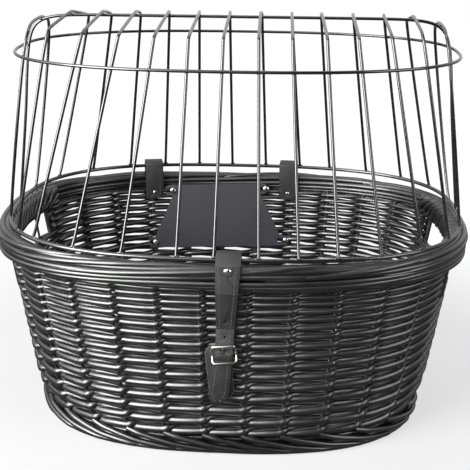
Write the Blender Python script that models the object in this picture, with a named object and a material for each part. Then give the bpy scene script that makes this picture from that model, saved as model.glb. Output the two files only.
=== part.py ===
"""Dog bicycle basket: an oval wicker basket with a hinged wire dome lid.

Metres, +Z up, front (the buckled side) towards -Y, back (the bicycle side) towards +Y.
The origin lies under the middle of the basket, on the surface that it stands on.
The lid turns at the back, where two leather loops hold its base ring to the rim.
"""
import math

import bmesh
import bpy
from mathutils import Matrix, Vector

# Clearances
GAP = 0.0003                     # between neighbouring solids
CUT_OVERRUN = 0.006              # how far a cutter passes the face that it cuts

# Basket body, outside sizes as half lengths (X) and half depths (Y)
BODY_HALF_LENGTH_TOP = 0.2255
BODY_HALF_DEPTH_TOP = 0.1620
BODY_HALF_LENGTH_FOOT = 0.1980
BODY_HALF_DEPTH_FOOT = 0.1500
OUTLINE_POWER_TOP = 2.62
OUTLINE_POWER_FOOT = 2.58
WALL_THICKNESS = 0.0062
WEAVE_RELIEF = 0.0011            # how far each course swings in and out at the stakes
STAKE_COUNT = 44
COURSE_COUNT = 12
FOOT_TUCK = 0.0160               # how far the wall draws in over the foot
FOOT_TUCK_HEIGHT = 0.050

# Rolled rim border: rods outside the wall, over its top edge and inside it
RIM_TOP = 0.19625
RIM_FALL = 0.00275               # the rim is this much higher in front and lower at the back
RIM_END_FALL = 0.0010            # and this much lower at its two ends
RIM_HEIGHT = 0.0225              # outside the wall
RIM_SEAT_DEPTH = 0.0140          # from the rim's top down to the wall's top edge
RIM_OUTER_REACH = 0.0070         # outwards from the wall's outer face
RIM_INNER_REACH = 0.0068         # inwards from the same face
RIM_ROD_SHARES = ((0.75, 1.00), (1.00, 0.86), (0.76, 0.68), (1.00, 0.51), (0.76, 0.34), (0.92, 0.16),
                  (0.45, 0.00), (-0.25, 0.055), (-0.85, 0.18), (-0.78, 0.32), (-1.00, 0.46))

# Braided foot border
FOOT_HALF_WIDTH = 0.0078
FOOT_HALF_HEIGHT = 0.0082
FOOT_SIDES = 8
FOOT_LUMP_SHARE = 0.84

# Woven floor
FLOOR_BOTTOM = 0.0055
FLOOR_THICKNESS = 0.0070
FLOOR_RELIEF = 0.0009
FLOOR_RINGS = 5

# Hand holes at the two ends, and the wrapped grips over them
HAND_HOLE_HALF_WIDTH = 0.0680
HAND_HOLE_BOTTOM = 0.1450
HAND_HOLE_CORNER = 0.0120
GRIP_WALL = 0.0018
GRIP_DROP = 0.0030               # how far its middle hangs below the rim
GRIP_RIDGE = 0.0008
GRIP_TURNS = 8
GRIP_STATIONS = 24
GRIP_LINING_STEP = 3
GRIP_SIDES = 8
GRIP_CORNER_ROOM = 1.12          # the lining's flattened corners clear the rim's rods

# Lid: base ring, dome and wires
LID_SHIFT = 0.0035               # the lid sits this far towards +X on the basket
RING_STAND = 0.00675             # base ring's middle line above the rim's top
RING_HEIGHT = RIM_TOP + RING_STAND
RING_INSET_ENDS = 0.0035         # base ring's middle line inside the body's outline
RING_INSET_SIDES = 0.0017
RING_HALF_LENGTH = BODY_HALF_LENGTH_TOP - RING_INSET_ENDS
RING_HALF_DEPTH = BODY_HALF_DEPTH_TOP - RING_INSET_SIDES
RING_WIRE_RADIUS = 0.0020
DOME_WIRE_RADIUS = 0.0015
DOME_HEIGHT = 0.1930
HOOP_DROP = 0.0342               # from the dome's top down to the middle hoop
DOME_POWER_BASE = 2.70
DOME_POWER_TOP = 2.465
CROWN_FALL_FRONT = 0.0065        # from the ridge down to the shoulders
CROWN_FALL_BACK = 0.0135
CROWN_POWER = 0.8
DOME_SHOULDER_POWER = 16.0
DOME_END_POWER = 13.8
DOME_LEAN_DEPTH_SHARE = 0.26
DOME_LEAN_LENGTH_SHARE = 0.0714
RIDGE_TUCK_SHARE = 0.5           # share of the height over which the ridge wire moves inside
ARCH_LEG_SHARES = (0.0, 0.30, 0.58, 0.80)
ARCH_CROWN_SHARES = (2.6, 1.7, 1.25, 1.0, 0.84, 0.68, 0.46, 0.20, 0.0)
RING_POINTS = 48
RIDGE_POINTS = 28
# Where each arch stands, bends and crosses the ridge along X, as shares of the ring's half length
FRONT_FOOT_SHARES = (-0.977, -0.899, -0.808, -0.623, -0.418, -0.195, -0.046,
                     0.130, 0.287, 0.443, 0.615, 0.783, 0.909, 0.979)
BACK_FOOT_SHARES = (-0.984, -0.911, -0.768, -0.589, -0.411, -0.233, -0.059,
                    0.117, 0.295, 0.449, 0.635, 0.803, 0.926, 0.992)
RIDGE_SHARES = (-0.867, -0.725, -0.586, -0.443, -0.299, -0.164, -0.031,
                0.100, 0.235, 0.364, 0.496, 0.627, 0.755, 0.870)
FRONT_SHOULDER_SHARES = (-0.860, -0.743, -0.586, -0.433, -0.291, -0.157, -0.023,
                         0.112, 0.241, 0.374, 0.496, 0.627, 0.755, 0.870)
BACK_SHOULDER_SHARES = (-0.880, -0.725, -0.626, -0.493, -0.358, -0.214, -0.066,
                        0.090, 0.235, 0.374, 0.526, 0.667, 0.765, 0.880)

# Leather hinge straps at the back
HINGE_STRAP_WIDTH = 0.0200
HINGE_STRAP_THICKNESS = 0.0020
HINGE_STRAP_LEFT = -0.1016
HINGE_STRAP_RIGHT = 0.0563
HINGE_STRAP_LOW = 0.1663         # height of its lower end, inside
HINGE_RIVET_HEIGHT = 0.1735
HINGE_STRAP_BEND = 0.0024
HINGE_RING_ROOM = 0.0022         # the ring turns freely inside the loop
HINGE_RIVET_HEAD_RADIUS = 0.0022
HINGE_RIVET_HEAD_HEIGHT = 0.0008
HINGE_RIVET_SHANK_RADIUS = 0.0010

# Front closure: lid strap
CLOSURE_X = 0.0066
CLOSURE_DRIFT = 0.0038           # the strap leans this far to -X from the base ring down to the buckle
TAIL_DRIFT = 0.0060              # and its tail this much further to -X
CLOSURE_THICKNESS = 0.0016
CLOSURE_WIDTH_TOP = 0.0222
CLOSURE_WIDTH_BUCKLE = 0.0160
CLOSURE_WIDTH_TAIL = 0.0188
CLOSURE_LOOP_RISE = 0.0076       # loop above the base ring's axis
CLOSURE_TIP_DROP = 0.0506        # tip below the buckle
CLOSURE_BEND = 0.0026
CLOSURE_RIVET_HEIGHT = 0.1965
CLOSURE_RIVET_RADIUS = 0.0038
CLOSURE_RIVET_DOME = 0.0016
CLOSURE_RIVET_SHANK_RADIUS = 0.0015
PUNCH_RADIUS = 0.0013
PUNCH_PITCH = 0.0151
PUNCH_FIRST_RISE = 0.0163        # first free hole above the buckle's centre bar
PUNCH_COUNT = 2
PUNCH_SIDES = 8

# Front closure: buckle and the anchor strap that holds it on the wall
BUCKLE_HEIGHT_ABOVE_FLOOR = 0.1152
BUCKLE_ROLL = math.radians(5.5)
BUCKLE_WIDTH = 0.0234
BUCKLE_HEIGHT = 0.0176
BUCKLE_BAR_RADIUS = 0.0010
BUCKLE_TOP_BAR_HALF_HEIGHT = 0.0018
BUCKLE_CORNER = 0.0022
BUCKLE_BOW = 0.0044              # end bars stand this far in front of the centre bar
CENTRE_BAR_STAND = 0.0046        # centre bar's axis in front of the wall's face
TONGUE_RADIUS = 0.0008
TONGUE_SLOT_WIDTH = 0.0028
TONGUE_HOLE_LENGTH = 0.0050
TONGUE_HOLE_RISE = 0.0034        # middle of the tongue's hole above the centre bar
ANCHOR_THICKNESS = 0.0014
ANCHOR_WIDTH = 0.0160
ANCHOR_LENGTH = 0.0300
ANCHOR_FOLD_DROP = 0.0050        # its two layers meet this far below the centre bar
ANCHOR_DRIFT = 0.0035            # the anchor strap leans this far to -X over its length
ANCHOR_RIVET_DROP = 0.0210
PATCH_THICKNESS = 0.0012
PATCH_WIDTH = 0.0230
PATCH_SHIFT = 0.0063             # the patch's middle lies this far towards -X of the buckle's
PATCH_RISE = 0.0068              # above the centre bar
PATCH_DROP = 0.0480              # below the centre bar
PATCH_END_SHARES = ((0.00, 0.50), (0.06, 0.72), (0.16, 0.88), (0.30, 1.00))
ANCHOR_RIVET_RADIUS = 0.0035
ANCHOR_RIVET_HEAD_HEIGHT = 0.0007
ANCHOR_RIVET_SHANK_RADIUS = 0.0014
WASHER_RADIUS = 0.0060
WASHER_THICKNESS = 0.0010

# Mounting plate inside the back wall
PLATE_X = -0.0267
PLATE_MIDDLE_HEIGHT = 0.1457
PLATE_ROW_SPACING = 0.0620
PLATE_TOP_SPACING = 0.1082
PLATE_BOTTOM_SPACING = 0.1530
PLATE_EAR_RADIUS = 0.0063
PLATE_EAR_NECK = 0.0062          # how far an ear's straight stretch sticks out of the sloping side
PLATE_THICKNESS = 0.0030
PLATE_ROLL = math.radians(1.4)
PLATE_SLOT_LENGTH = 0.0130
PLATE_SLOT_WIDTH = 0.0048
SCREW_OFF_CENTRE = 0.0038        # each screw sits towards the +X end of its slot
SCREW_HEAD_RADIUS = 0.0037
SCREW_HEAD_HEIGHT = 0.0022
SCREW_SHANK_RADIUS = 0.0018
SCREW_CROSS_LENGTH = 0.0042
SCREW_CROSS_WIDTH = 0.0009
SCREW_CROSS_DEPTH = 0.0010
NUT_RADIUS = 0.0040
NUT_HEIGHT = 0.0032
NUT_FLANGE_RADIUS = 0.0060
NUT_FLANGE_THICKNESS = 0.0010
NUT_SLOPE_ROOM = 0.0009          # the flat flange clears the curved wall

ROUND_SIDES = 12
BEND_STEPS = 4
EAR_STEPS = 6
EYE_STEPS = 12
BAR_SIDES = 8
TONGUE_SIDES = 6
X_AXIS = Vector((1.0, 0.0, 0.0))
Y_AXIS = Vector((0.0, 1.0, 0.0))
Z_AXIS = Vector((0.0, 0.0, 1.0))


def clear_scene():
    """Remove every object of the open scene."""
    for item in list(bpy.data.objects):
        bpy.data.objects.remove(item, do_unlink=True)


def make_material(name, colour, roughness, metallic=0.0):
    """Return a Principled material."""
    material = bpy.data.materials.new(name)
    material.use_nodes = True
    shader = material.node_tree.nodes["Principled BSDF"]
    shader.inputs["Base Color"].default_value = (*colour, 1.0)
    shader.inputs["Roughness"].default_value = roughness
    shader.inputs["Metallic"].default_value = metallic
    material.diffuse_color = (*colour, 1.0)
    return material


def wicker_finish(name):
    return make_material(name, (0.035, 0.034, 0.036), 0.42)


def wire_finish(name):
    return make_material(name, (0.020, 0.020, 0.022), 0.28, 0.2)


def leather_finish(name):
    return make_material(name, (0.030, 0.029, 0.031), 0.50)


def nickel_finish(name):
    return make_material(name, (0.72, 0.71, 0.69), 0.22, 1.0)


def plastic_finish(name):
    return make_material(name, (0.078, 0.076, 0.090), 0.45)


def add_mesh_object(name, vertices, faces, finish, smooth=True):
    """Make a closed mesh into a named object, with flat triangles that face outwards."""
    mesh = bpy.data.meshes.new(name)
    mesh.from_pydata([tuple(vertex) for vertex in vertices], [], faces)
    work = bmesh.new()
    work.from_mesh(mesh)
    bmesh.ops.triangulate(work, faces=work.faces)
    bmesh.ops.recalc_face_normals(work, faces=work.faces)
    if work.calc_volume(signed=True) < 0.0:
        bmesh.ops.reverse_faces(work, faces=work.faces)
    work.to_mesh(mesh)
    work.free()
    if smooth:
        mesh.shade_smooth()
        mesh.set_sharp_from_angle(angle=math.radians(40))
    item = bpy.data.objects.new(name, mesh)
    bpy.context.collection.objects.link(item)
    if finish:
        mesh.materials.append(finish(name))
    return item


def add_empty(name, position, parent=None):
    """Add an empty on a joint's axis, to carry the pieces that turn there."""
    item = bpy.data.objects.new(name, None)
    bpy.context.collection.objects.link(item)
    item.location = position
    if parent:
        item.parent = parent
        item.location = position - parent.location
    return item


def carry(item, pivot):
    """Parent a piece to its pivot without moving it."""
    bpy.context.view_layer.update()
    item.parent = pivot
    item.matrix_parent_inverse = pivot.matrix_world.inverted()


def cut(item, cutter):
    """Take one cutter out of a solid, and hide the cutter."""
    cutter.hide_render = True
    cutter.display_type = "WIRE"
    modifier = item.modifiers.new("cut_" + cutter.name, "BOOLEAN")
    modifier.operation = "DIFFERENCE"
    modifier.solver = "EXACT"
    modifier.object = cutter


def skin_rings(rings, closed_path):
    """Join rings of equal counts into side faces, with caps at an open path's ends."""
    sides = len(rings[0])
    count = len(rings)
    vertices = [point for ring in rings for point in ring]
    faces = []
    for step in range(count if closed_path else count - 1):
        here = step * sides
        there = (step + 1) % count * sides
        for side in range(sides):
            after = (side + 1) % sides
            faces.append((here + side, here + after, there + after, there + side))
    if not closed_path:
        faces.append(tuple(range(sides)))
        faces.append(tuple(range((count - 1) * sides, count * sides)))
    return vertices, faces


def outline_radius(angle, half_length, half_depth, power):
    """Return how far a rounded oval reaches in one direction."""
    along = abs(math.cos(angle) / half_length) ** power
    across = abs(math.sin(angle) / half_depth) ** power
    return (along + across) ** (-1.0 / power)


def outline_point(angle, half_length, half_depth, power):
    radius = outline_radius(angle, half_length, half_depth, power)
    return Vector((radius * math.cos(angle), radius * math.sin(angle), 0.0))


def outline_normal(point, half_length, half_depth, power):
    """Return the oval's outward direction at one of its points."""
    slope_x = abs(point.x / half_length) ** (power - 1.0) / half_length
    slope_y = abs(point.y / half_depth) ** (power - 1.0) / half_depth
    return Vector((math.copysign(slope_x, point.x), math.copysign(slope_y, point.y), 0.0)).normalized()


def even_angles(count, half_length, half_depth, power):
    """Return the directions that divide an oval into equal lengths."""
    fine = count * 24
    angles = [math.tau * step / fine for step in range(fine + 1)]
    points = [outline_point(angle, half_length, half_depth, power) for angle in angles]
    travelled = [0.0]
    for before, after in zip(points, points[1:]):
        travelled.append(travelled[-1] + (after - before).length)
    chosen = []
    step = 0
    for index in range(count):
        wanted = travelled[-1] * index / count
        while travelled[step + 1] <= wanted:
            step += 1
        share = (wanted - travelled[step]) / (travelled[step + 1] - travelled[step])
        chosen.append(angles[step] + share * (angles[step + 1] - angles[step]))
    return chosen


def rim_top(x, y):
    """Return the height of the rim's top at a place in plan."""
    end_share = (x / BODY_HALF_LENGTH_TOP) ** 4
    return RIM_TOP - RIM_FALL * y / BODY_HALF_DEPTH_TOP - RIM_END_FALL * end_share


def wall_top(x, y):
    return rim_top(x, y) - RIM_SEAT_DEPTH - GAP


def wall_bottom():
    return 2.0 * FOOT_HALF_HEIGHT + GAP


def body_oval(height):
    """Return half length, half depth and power of the wall's outer face at a height."""
    share = height / wall_top(0.0, 0.0)
    tuck = FOOT_TUCK * max(0.0, 1.0 - height / FOOT_TUCK_HEIGHT) ** 2
    half_length = BODY_HALF_LENGTH_FOOT + (BODY_HALF_LENGTH_TOP - BODY_HALF_LENGTH_FOOT) * share - tuck
    half_depth = BODY_HALF_DEPTH_FOOT + (BODY_HALF_DEPTH_TOP - BODY_HALF_DEPTH_FOOT) * share - tuck
    power = OUTLINE_POWER_FOOT + (OUTLINE_POWER_TOP - OUTLINE_POWER_FOOT) * share
    return half_length, half_depth, power


def wall_face_depth(x, height, inside=False):
    """Return how deep (|Y|) the wall's mean outer or inner face lies at a place."""
    half_length, half_depth, power = body_oval(height)
    if inside:
        half_length -= WALL_THICKNESS
        half_depth -= WALL_THICKNESS
    return half_depth * (1.0 - abs(x / half_length) ** power) ** (1.0 / power)


def build_wall():
    """Woven wall: courses swing out and in at alternate stakes, with a plain edge above and below."""
    angles = even_angles(STAKE_COUNT, BODY_HALF_LENGTH_TOP, BODY_HALF_DEPTH_TOP, OUTLINE_POWER_TOP)
    outer_rows = []
    inner_rows = []
    for row in range(COURSE_COUNT + 1):
        outer_row = []
        inner_row = []
        for stake, angle in enumerate(angles):
            middle = outline_point(angle, BODY_HALF_LENGTH_TOP, BODY_HALF_DEPTH_TOP, OUTLINE_POWER_TOP)
            bottom = wall_bottom()
            height = bottom + (wall_top(middle.x, middle.y) - bottom) * row / COURSE_COUNT
            half_length, half_depth, power = body_oval(height)
            outer = outline_point(angle, half_length, half_depth, power)
            normal = outline_normal(outer, half_length, half_depth, power)
            swing = 0.0
            if 0 < row < COURSE_COUNT:
                swing = WEAVE_RELIEF * (1.0 if (row + stake) % 2 else -1.0)
            outer.z = height
            outer_row.append(outer + normal * swing)
            inner_row.append(outer + normal * (swing - WALL_THICKNESS))
        outer_rows.append(outer_row)
        inner_rows.append(inner_row)
    rings = outer_rows + inner_rows[::-1]
    vertices, faces = skin_rings(rings, closed_path=True)
    wall = add_mesh_object("wicker_wall", vertices, faces, wicker_finish)
    for side, sign in (("left", -1.0), ("right", 1.0)):
        cut(wall, hand_hole_cutter(side, sign))
    for side, x in (("left", HINGE_STRAP_LEFT), ("right", HINGE_STRAP_RIGHT)):
        cut(wall, hinge_slot_cutter(side, x))
    for number, place in enumerate(screw_places(), start=1):
        cut(wall, screw_bore_cutter("wall", number, place))
    place, outward = anchor_rivet_line()
    cut(wall, add_rod("anchor_bore_cutter", place, outward, -WALL_THICKNESS - CUT_OVERRUN, CUT_OVERRUN,
                      ANCHOR_RIVET_SHANK_RADIUS + GAP, None))
    return wall


def hand_hole_cutter(side, sign):
    """Return a cutter with rounded lower corners that leaves the wall's end open under the rim."""
    top = wall_top(0.0, 0.0) + CUT_OVERRUN
    corners = [(-HAND_HOLE_HALF_WIDTH, top), (-HAND_HOLE_HALF_WIDTH, HAND_HOLE_BOTTOM),
               (HAND_HOLE_HALF_WIDTH, HAND_HOLE_BOTTOM), (HAND_HOLE_HALF_WIDTH, top)]
    profile = round_corners([Vector((0.0, y, z)) for y, z in corners], HAND_HOLE_CORNER)
    near = BODY_HALF_LENGTH_FOOT - 6.0 * CUT_OVERRUN
    far = BODY_HALF_LENGTH_TOP + CUT_OVERRUN
    rings = [[point + X_AXIS * sign * reach for point in profile] for reach in (near, far)]
    vertices, faces = skin_rings(rings, closed_path=False)
    return add_mesh_object(f"hand_hole_cutter_{side}", vertices, faces, None, smooth=False)


def screw_bore_cutter(what, number, place):
    """Return a cutter for a plate screw's bore through the wall or the rim."""
    reach = WALL_THICKNESS + 4.0 * CUT_OVERRUN
    return add_rod(f"{what}_bore_cutter_{number}", place, plate_normal(), -reach, reach,
                   SCREW_SHANK_RADIUS + GAP, None)


def hinge_slot_cutter(side, x):
    """Return a cutter for the slot in the wall that a hinge strap passes through under the rim."""
    frame = hinge_frame(x)
    half_width = HINGE_STRAP_WIDTH / 2.0 + 2.0 * GAP
    high = -RIM_HEIGHT + GAP
    low = -RIM_HEIGHT - HINGE_STRAP_THICKNESS - 5.0 * GAP
    reach = RIM_INNER_REACH + CUT_OVERRUN
    corners = [(-half_width, low), (half_width, low), (half_width, high), (-half_width, high)]
    rings = [[frame @ Vector((along, depth, rise)) for along, rise in corners]
             for depth in (-reach, CUT_OVERRUN)]
    vertices, faces = skin_rings(rings, closed_path=False)
    return add_mesh_object(f"hinge_slot_cutter_{side}", vertices, faces, None, smooth=False)


def rim_section():
    """Return the rolled border's section as (outward, upward) places from the wall's outer top line."""
    outer_side = WEAVE_RELIEF + GAP
    points = [(outer_side, -RIM_HEIGHT)]
    for reach_share, drop_share in RIM_ROD_SHARES:
        reach = RIM_OUTER_REACH if reach_share > 0.0 else RIM_INNER_REACH
        points.append((reach * reach_share, -RIM_HEIGHT * drop_share))
    points += [(-RIM_INNER_REACH * 0.8, -RIM_SEAT_DEPTH), (outer_side, -RIM_SEAT_DEPTH)]
    return points


def rim_frame(point):
    """Return a place on the rim's top, over the wall's outer top line, and the outward direction there."""
    outward = outline_normal(point, BODY_HALF_LENGTH_TOP, BODY_HALF_DEPTH_TOP, OUTLINE_POWER_TOP)
    return Vector((point.x, point.y, rim_top(point.x, point.y))), outward


def build_rim():
    """Rolled rim border, swept round the wall's top edge from stake to stake."""
    rings = []
    for angle in even_angles(STAKE_COUNT, BODY_HALF_LENGTH_TOP, BODY_HALF_DEPTH_TOP, OUTLINE_POWER_TOP):
        point = outline_point(angle, BODY_HALF_LENGTH_TOP, BODY_HALF_DEPTH_TOP, OUTLINE_POWER_TOP)
        origin, outward = rim_frame(point)
        rings.append([origin + outward * reach + Z_AXIS * rise for reach, rise in rim_section()])
    vertices, faces = skin_rings(rings, closed_path=True)
    rim = add_mesh_object("rim_border", vertices, faces, wicker_finish)
    for number, place in enumerate(screw_places()[:2], start=1):
        cut(rim, screw_bore_cutter("rim", number, place))
    return rim


def foot_line():
    """Return half length and half depth of the foot border's middle line, under the wall's middle."""
    half_length, half_depth, _ = body_oval(wall_bottom())
    return half_length - WALL_THICKNESS / 2.0, half_depth - WALL_THICKNESS / 2.0


def build_foot():
    """Braided foot border, lumpy outside over every other stake and pressed flat where it stands."""
    half_length, half_depth = foot_line()
    flatness = 1.0 / math.cos(math.pi / FOOT_SIDES)
    rings = []
    for step, angle in enumerate(even_angles(STAKE_COUNT, half_length, half_depth, OUTLINE_POWER_FOOT)):
        point = outline_point(angle, half_length, half_depth, OUTLINE_POWER_FOOT)
        outward = outline_normal(point, half_length, half_depth, OUTLINE_POWER_FOOT)
        ring = []
        for side in range(FOOT_SIDES):
            turn = math.tau * (side + 0.5) / FOOT_SIDES
            lump = FOOT_LUMP_SHARE if step % 2 and math.cos(turn) > 0.0 else 1.0
            across = FOOT_HALF_WIDTH * lump * math.cos(turn)
            height = FOOT_HALF_HEIGHT * (1.0 + flatness * math.sin(turn))
            ring.append(Vector((point.x, point.y, height)) + outward * across)
        rings.append(ring)
    vertices, faces = skin_rings(rings, closed_path=True)
    return add_mesh_object("foot_border", vertices, faces, wicker_finish)


def build_floor():
    """Woven floor, set inside the foot border."""
    foot_length, foot_depth = foot_line()
    inset = FOOT_HALF_WIDTH * math.cos(math.pi / FOOT_SIDES) + GAP
    half_length = foot_length - inset
    half_depth = foot_depth - inset
    angles = even_angles(STAKE_COUNT, half_length, half_depth, OUTLINE_POWER_FOOT)
    vertices = []
    for ring in range(FLOOR_RINGS, 0, -1):
        share = ring / FLOOR_RINGS
        for stake, angle in enumerate(angles):
            bump = FLOOR_RELIEF * (1.0 if (ring + stake) % 2 else 0.0) if ring < FLOOR_RINGS else 0.0
            point = outline_point(angle, half_length, half_depth, OUTLINE_POWER_FOOT) * share
            vertices.append(point + Z_AXIS * (FLOOR_BOTTOM + FLOOR_THICKNESS + bump))
    faces = []
    for ring in range(FLOOR_RINGS - 1):
        for stake in range(STAKE_COUNT):
            after = (stake + 1) % STAKE_COUNT
            first = ring * STAKE_COUNT
            second = first + STAKE_COUNT
            faces.append((first + stake, first + after, second + after, second + stake))
    inner = (FLOOR_RINGS - 1) * STAKE_COUNT
    faces.append(tuple(inner + stake for stake in range(STAKE_COUNT)))
    under = len(vertices)
    for angle in angles:
        point = outline_point(angle, half_length, half_depth, OUTLINE_POWER_FOOT)
        vertices.append(point + Z_AXIS * FLOOR_BOTTOM)
    for stake in range(STAKE_COUNT):
        after = (stake + 1) % STAKE_COUNT
        faces.append((under + stake, under + after, after, stake))
    faces.append(tuple(under + stake for stake in range(STAKE_COUNT)))
    return add_mesh_object("wicker_floor", vertices, faces, wicker_finish)


def grip_frame(sign, share):
    """Return a place on the rim's top at a share of a grip's length, and the outward direction there."""
    y = (2.0 * share - 1.0) * (HAND_HOLE_HALF_WIDTH - 2.0 * GAP)
    across = abs(y / BODY_HALF_DEPTH_TOP) ** OUTLINE_POWER_TOP
    x = BODY_HALF_LENGTH_TOP * (1.0 - across) ** (1.0 / OUTLINE_POWER_TOP)
    return rim_frame(Vector((sign * x, y, 0.0)))


def build_grip(side, sign):
    """Wrapped hand grip: a ridged sleeve round the rim over one hand hole, thickest in its middle."""
    clear = 2.0 * GAP
    inner_width = ((RIM_OUTER_REACH + RIM_INNER_REACH) / 2.0 + clear) * GRIP_CORNER_ROOM
    inner_height = (RIM_HEIGHT / 2.0 + clear) * GRIP_CORNER_ROOM
    middle_reach = (RIM_OUTER_REACH - RIM_INNER_REACH) / 2.0
    outer_rings = []
    inner_rings = []
    for step in range(GRIP_STATIONS + 1):
        share = step / GRIP_STATIONS
        origin, outward = grip_frame(sign, share)
        swell = 1.0 - abs(2.0 * share - 1.0) ** 1.7
        outer_ring = []
        inner_ring = []
        for corner in range(GRIP_SIDES):
            turn = math.tau * (corner + 0.5) / GRIP_SIDES
            across = math.copysign(abs(math.cos(turn)) ** 0.5, math.cos(turn))
            rise = math.copysign(abs(math.sin(turn)) ** 0.5, math.sin(turn))
            ridge = GRIP_RIDGE * math.cos(math.tau * GRIP_TURNS * share - turn)
            wall = GRIP_WALL + ridge
            drop = GRIP_DROP * swell if rise < 0.0 else 0.0
            middle = origin + outward * middle_reach - Z_AXIS * RIM_HEIGHT / 2.0
            outer_ring.append(middle + outward * across * (inner_width + wall)
                              + Z_AXIS * rise * (inner_height + wall + drop))
            inner_ring.append(middle + outward * across * inner_width + Z_AXIS * rise * inner_height)
        outer_rings.append(outer_ring)
        inner_rings.append(inner_ring)
    lining = inner_rings[::-GRIP_LINING_STEP]
    vertices, faces = skin_rings(outer_rings + lining, closed_path=True)
    return add_mesh_object(f"hand_grip_{side}", vertices, faces, wicker_finish)


def dome_oval(share, crown_fall=CROWN_FALL_BACK):
    """Return half length, half depth and power of the dome at a share of its height.

    The crown falls by crown_fall from the ridge to the shoulders.
    """
    half_length = RING_HALF_LENGTH * (1.0 - DOME_LEAN_LENGTH_SHARE * share)
    half_length *= (1.0 - share ** DOME_END_POWER) ** (1.0 / DOME_END_POWER)
    side = RING_HALF_DEPTH * (1.0 - DOME_LEAN_DEPTH_SHARE * share)
    crown = side * ((1.0 - share) * DOME_HEIGHT / crown_fall) ** CROWN_POWER
    nearness = side ** -DOME_SHOULDER_POWER + crown ** -DOME_SHOULDER_POWER
    half_depth = nearness ** (-1.0 / DOME_SHOULDER_POWER)
    power = DOME_POWER_BASE + (DOME_POWER_TOP - DOME_POWER_BASE) * share
    return half_length, half_depth, power


def dome_depth(x, share, crown_fall=CROWN_FALL_BACK):
    """Return how deep (|Y|) the dome is at an x and a share of its height, or 0 outside it."""
    half_length, half_depth, power = dome_oval(share, crown_fall)
    inside = 1.0 - abs(x / half_length) ** power
    return half_depth * inside ** (1.0 / power) if inside > 0.0 else 0.0


def find_share(is_below, top_share):
    """Return the share of the dome's height where a test stops being true."""
    low = 0.0
    high = top_share
    for _ in range(40):
        middle = (low + high) / 2.0
        if is_below(middle):
            low = middle
        else:
            high = middle
    return low


def arch_half(foot_x, shoulder_x, ridge_x, sign):
    """Return the points of half an arch: its leg up to the shoulder, then its crown to the ridge."""
    top_share = find_share(lambda share: dome_oval(share)[0] > abs(ridge_x), 1.0 - 1e-6)
    crown_fall = CROWN_FALL_FRONT if sign < 0.0 else CROWN_FALL_BACK
    shoulder_share = top_share - crown_fall / DOME_HEIGHT
    shares = [leg_share * top_share for leg_share in ARCH_LEG_SHARES]
    shares += [top_share - crown_share * crown_fall / DOME_HEIGHT for crown_share in ARCH_CROWN_SHARES]
    points = []
    for share in shares:
        if share < shoulder_share:
            x = foot_x + (shoulder_x - foot_x) * share / shoulder_share
        else:
            left_share = (top_share - share) * DOME_HEIGHT / crown_fall
            x = ridge_x + (shoulder_x - ridge_x) * left_share ** CROWN_POWER
        depth = dome_depth(x, share, crown_fall) if share < top_share else 0.0
        points.append(Vector((x + LID_SHIFT, sign * depth, RING_HEIGHT + DOME_HEIGHT * share)))
    points[0].z = RING_HEIGHT + RING_WIRE_RADIUS + GAP
    return points


def add_wire(name, points, radius, closed=False):
    """Add a bent wire along points."""
    curve = bpy.data.curves.new(name, "CURVE")
    curve.dimensions = "3D"
    curve.bevel_depth = radius
    curve.bevel_resolution = 1
    curve.use_fill_caps = True
    spline = curve.splines.new("POLY")
    spline.points.add(len(points) - 1)
    for place, point in zip(spline.points, points):
        place.co = (*point, 1.0)
    spline.use_cyclic_u = closed
    spline.use_smooth = True
    curve.materials.append(wire_finish(name))
    item = bpy.data.objects.new(name, curve)
    bpy.context.collection.objects.link(item)
    return item


def oval_wire(name, share, growth, radius):
    """Add a closed wire hoop round the dome at a share of its height."""
    half_length, half_depth, power = dome_oval(share)
    half_length += growth
    half_depth += growth
    lift = Vector((LID_SHIFT, 0.0, RING_HEIGHT + DOME_HEIGHT * share))
    angles = even_angles(RING_POINTS, half_length, half_depth, power)
    points = [outline_point(angle, half_length, half_depth, power) + lift for angle in angles]
    return add_wire(name, points, radius, closed=True)


def ridge_points():
    """Return the ridge wire's points, end to end over the top and inside the arches."""
    tuck = 2.0 * DOME_WIRE_RADIUS + GAP
    quarter = []
    half_count = RIDGE_POINTS // 2
    for step in range(half_count + 1):
        angle = math.pi / 2.0 * step / half_count
        x = RING_HALF_LENGTH * math.cos(angle) ** (2.0 / 6.0)
        share = find_share(lambda value: dome_oval(value)[0] > x, 1.0 - 1e-6) if step else 0.0
        slope_x = (x / RING_HALF_LENGTH) ** (DOME_END_POWER - 1.0)
        slope_z = share ** (DOME_END_POWER - 1.0)
        inward = Vector((slope_x, 0.0, slope_z)).normalized() * tuck
        inward *= min(1.0, share / RIDGE_TUCK_SHARE)
        quarter.append(Vector((x, 0.0, DOME_HEIGHT * share)) - inward)
    quarter[0].z = RING_WIRE_RADIUS + GAP
    mirrored = [Vector((-point.x, 0.0, point.z)) for point in quarter]
    lift = Vector((LID_SHIFT, 0.0, RING_HEIGHT))
    return [point + lift for point in mirrored + quarter[-2::-1]]


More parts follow.
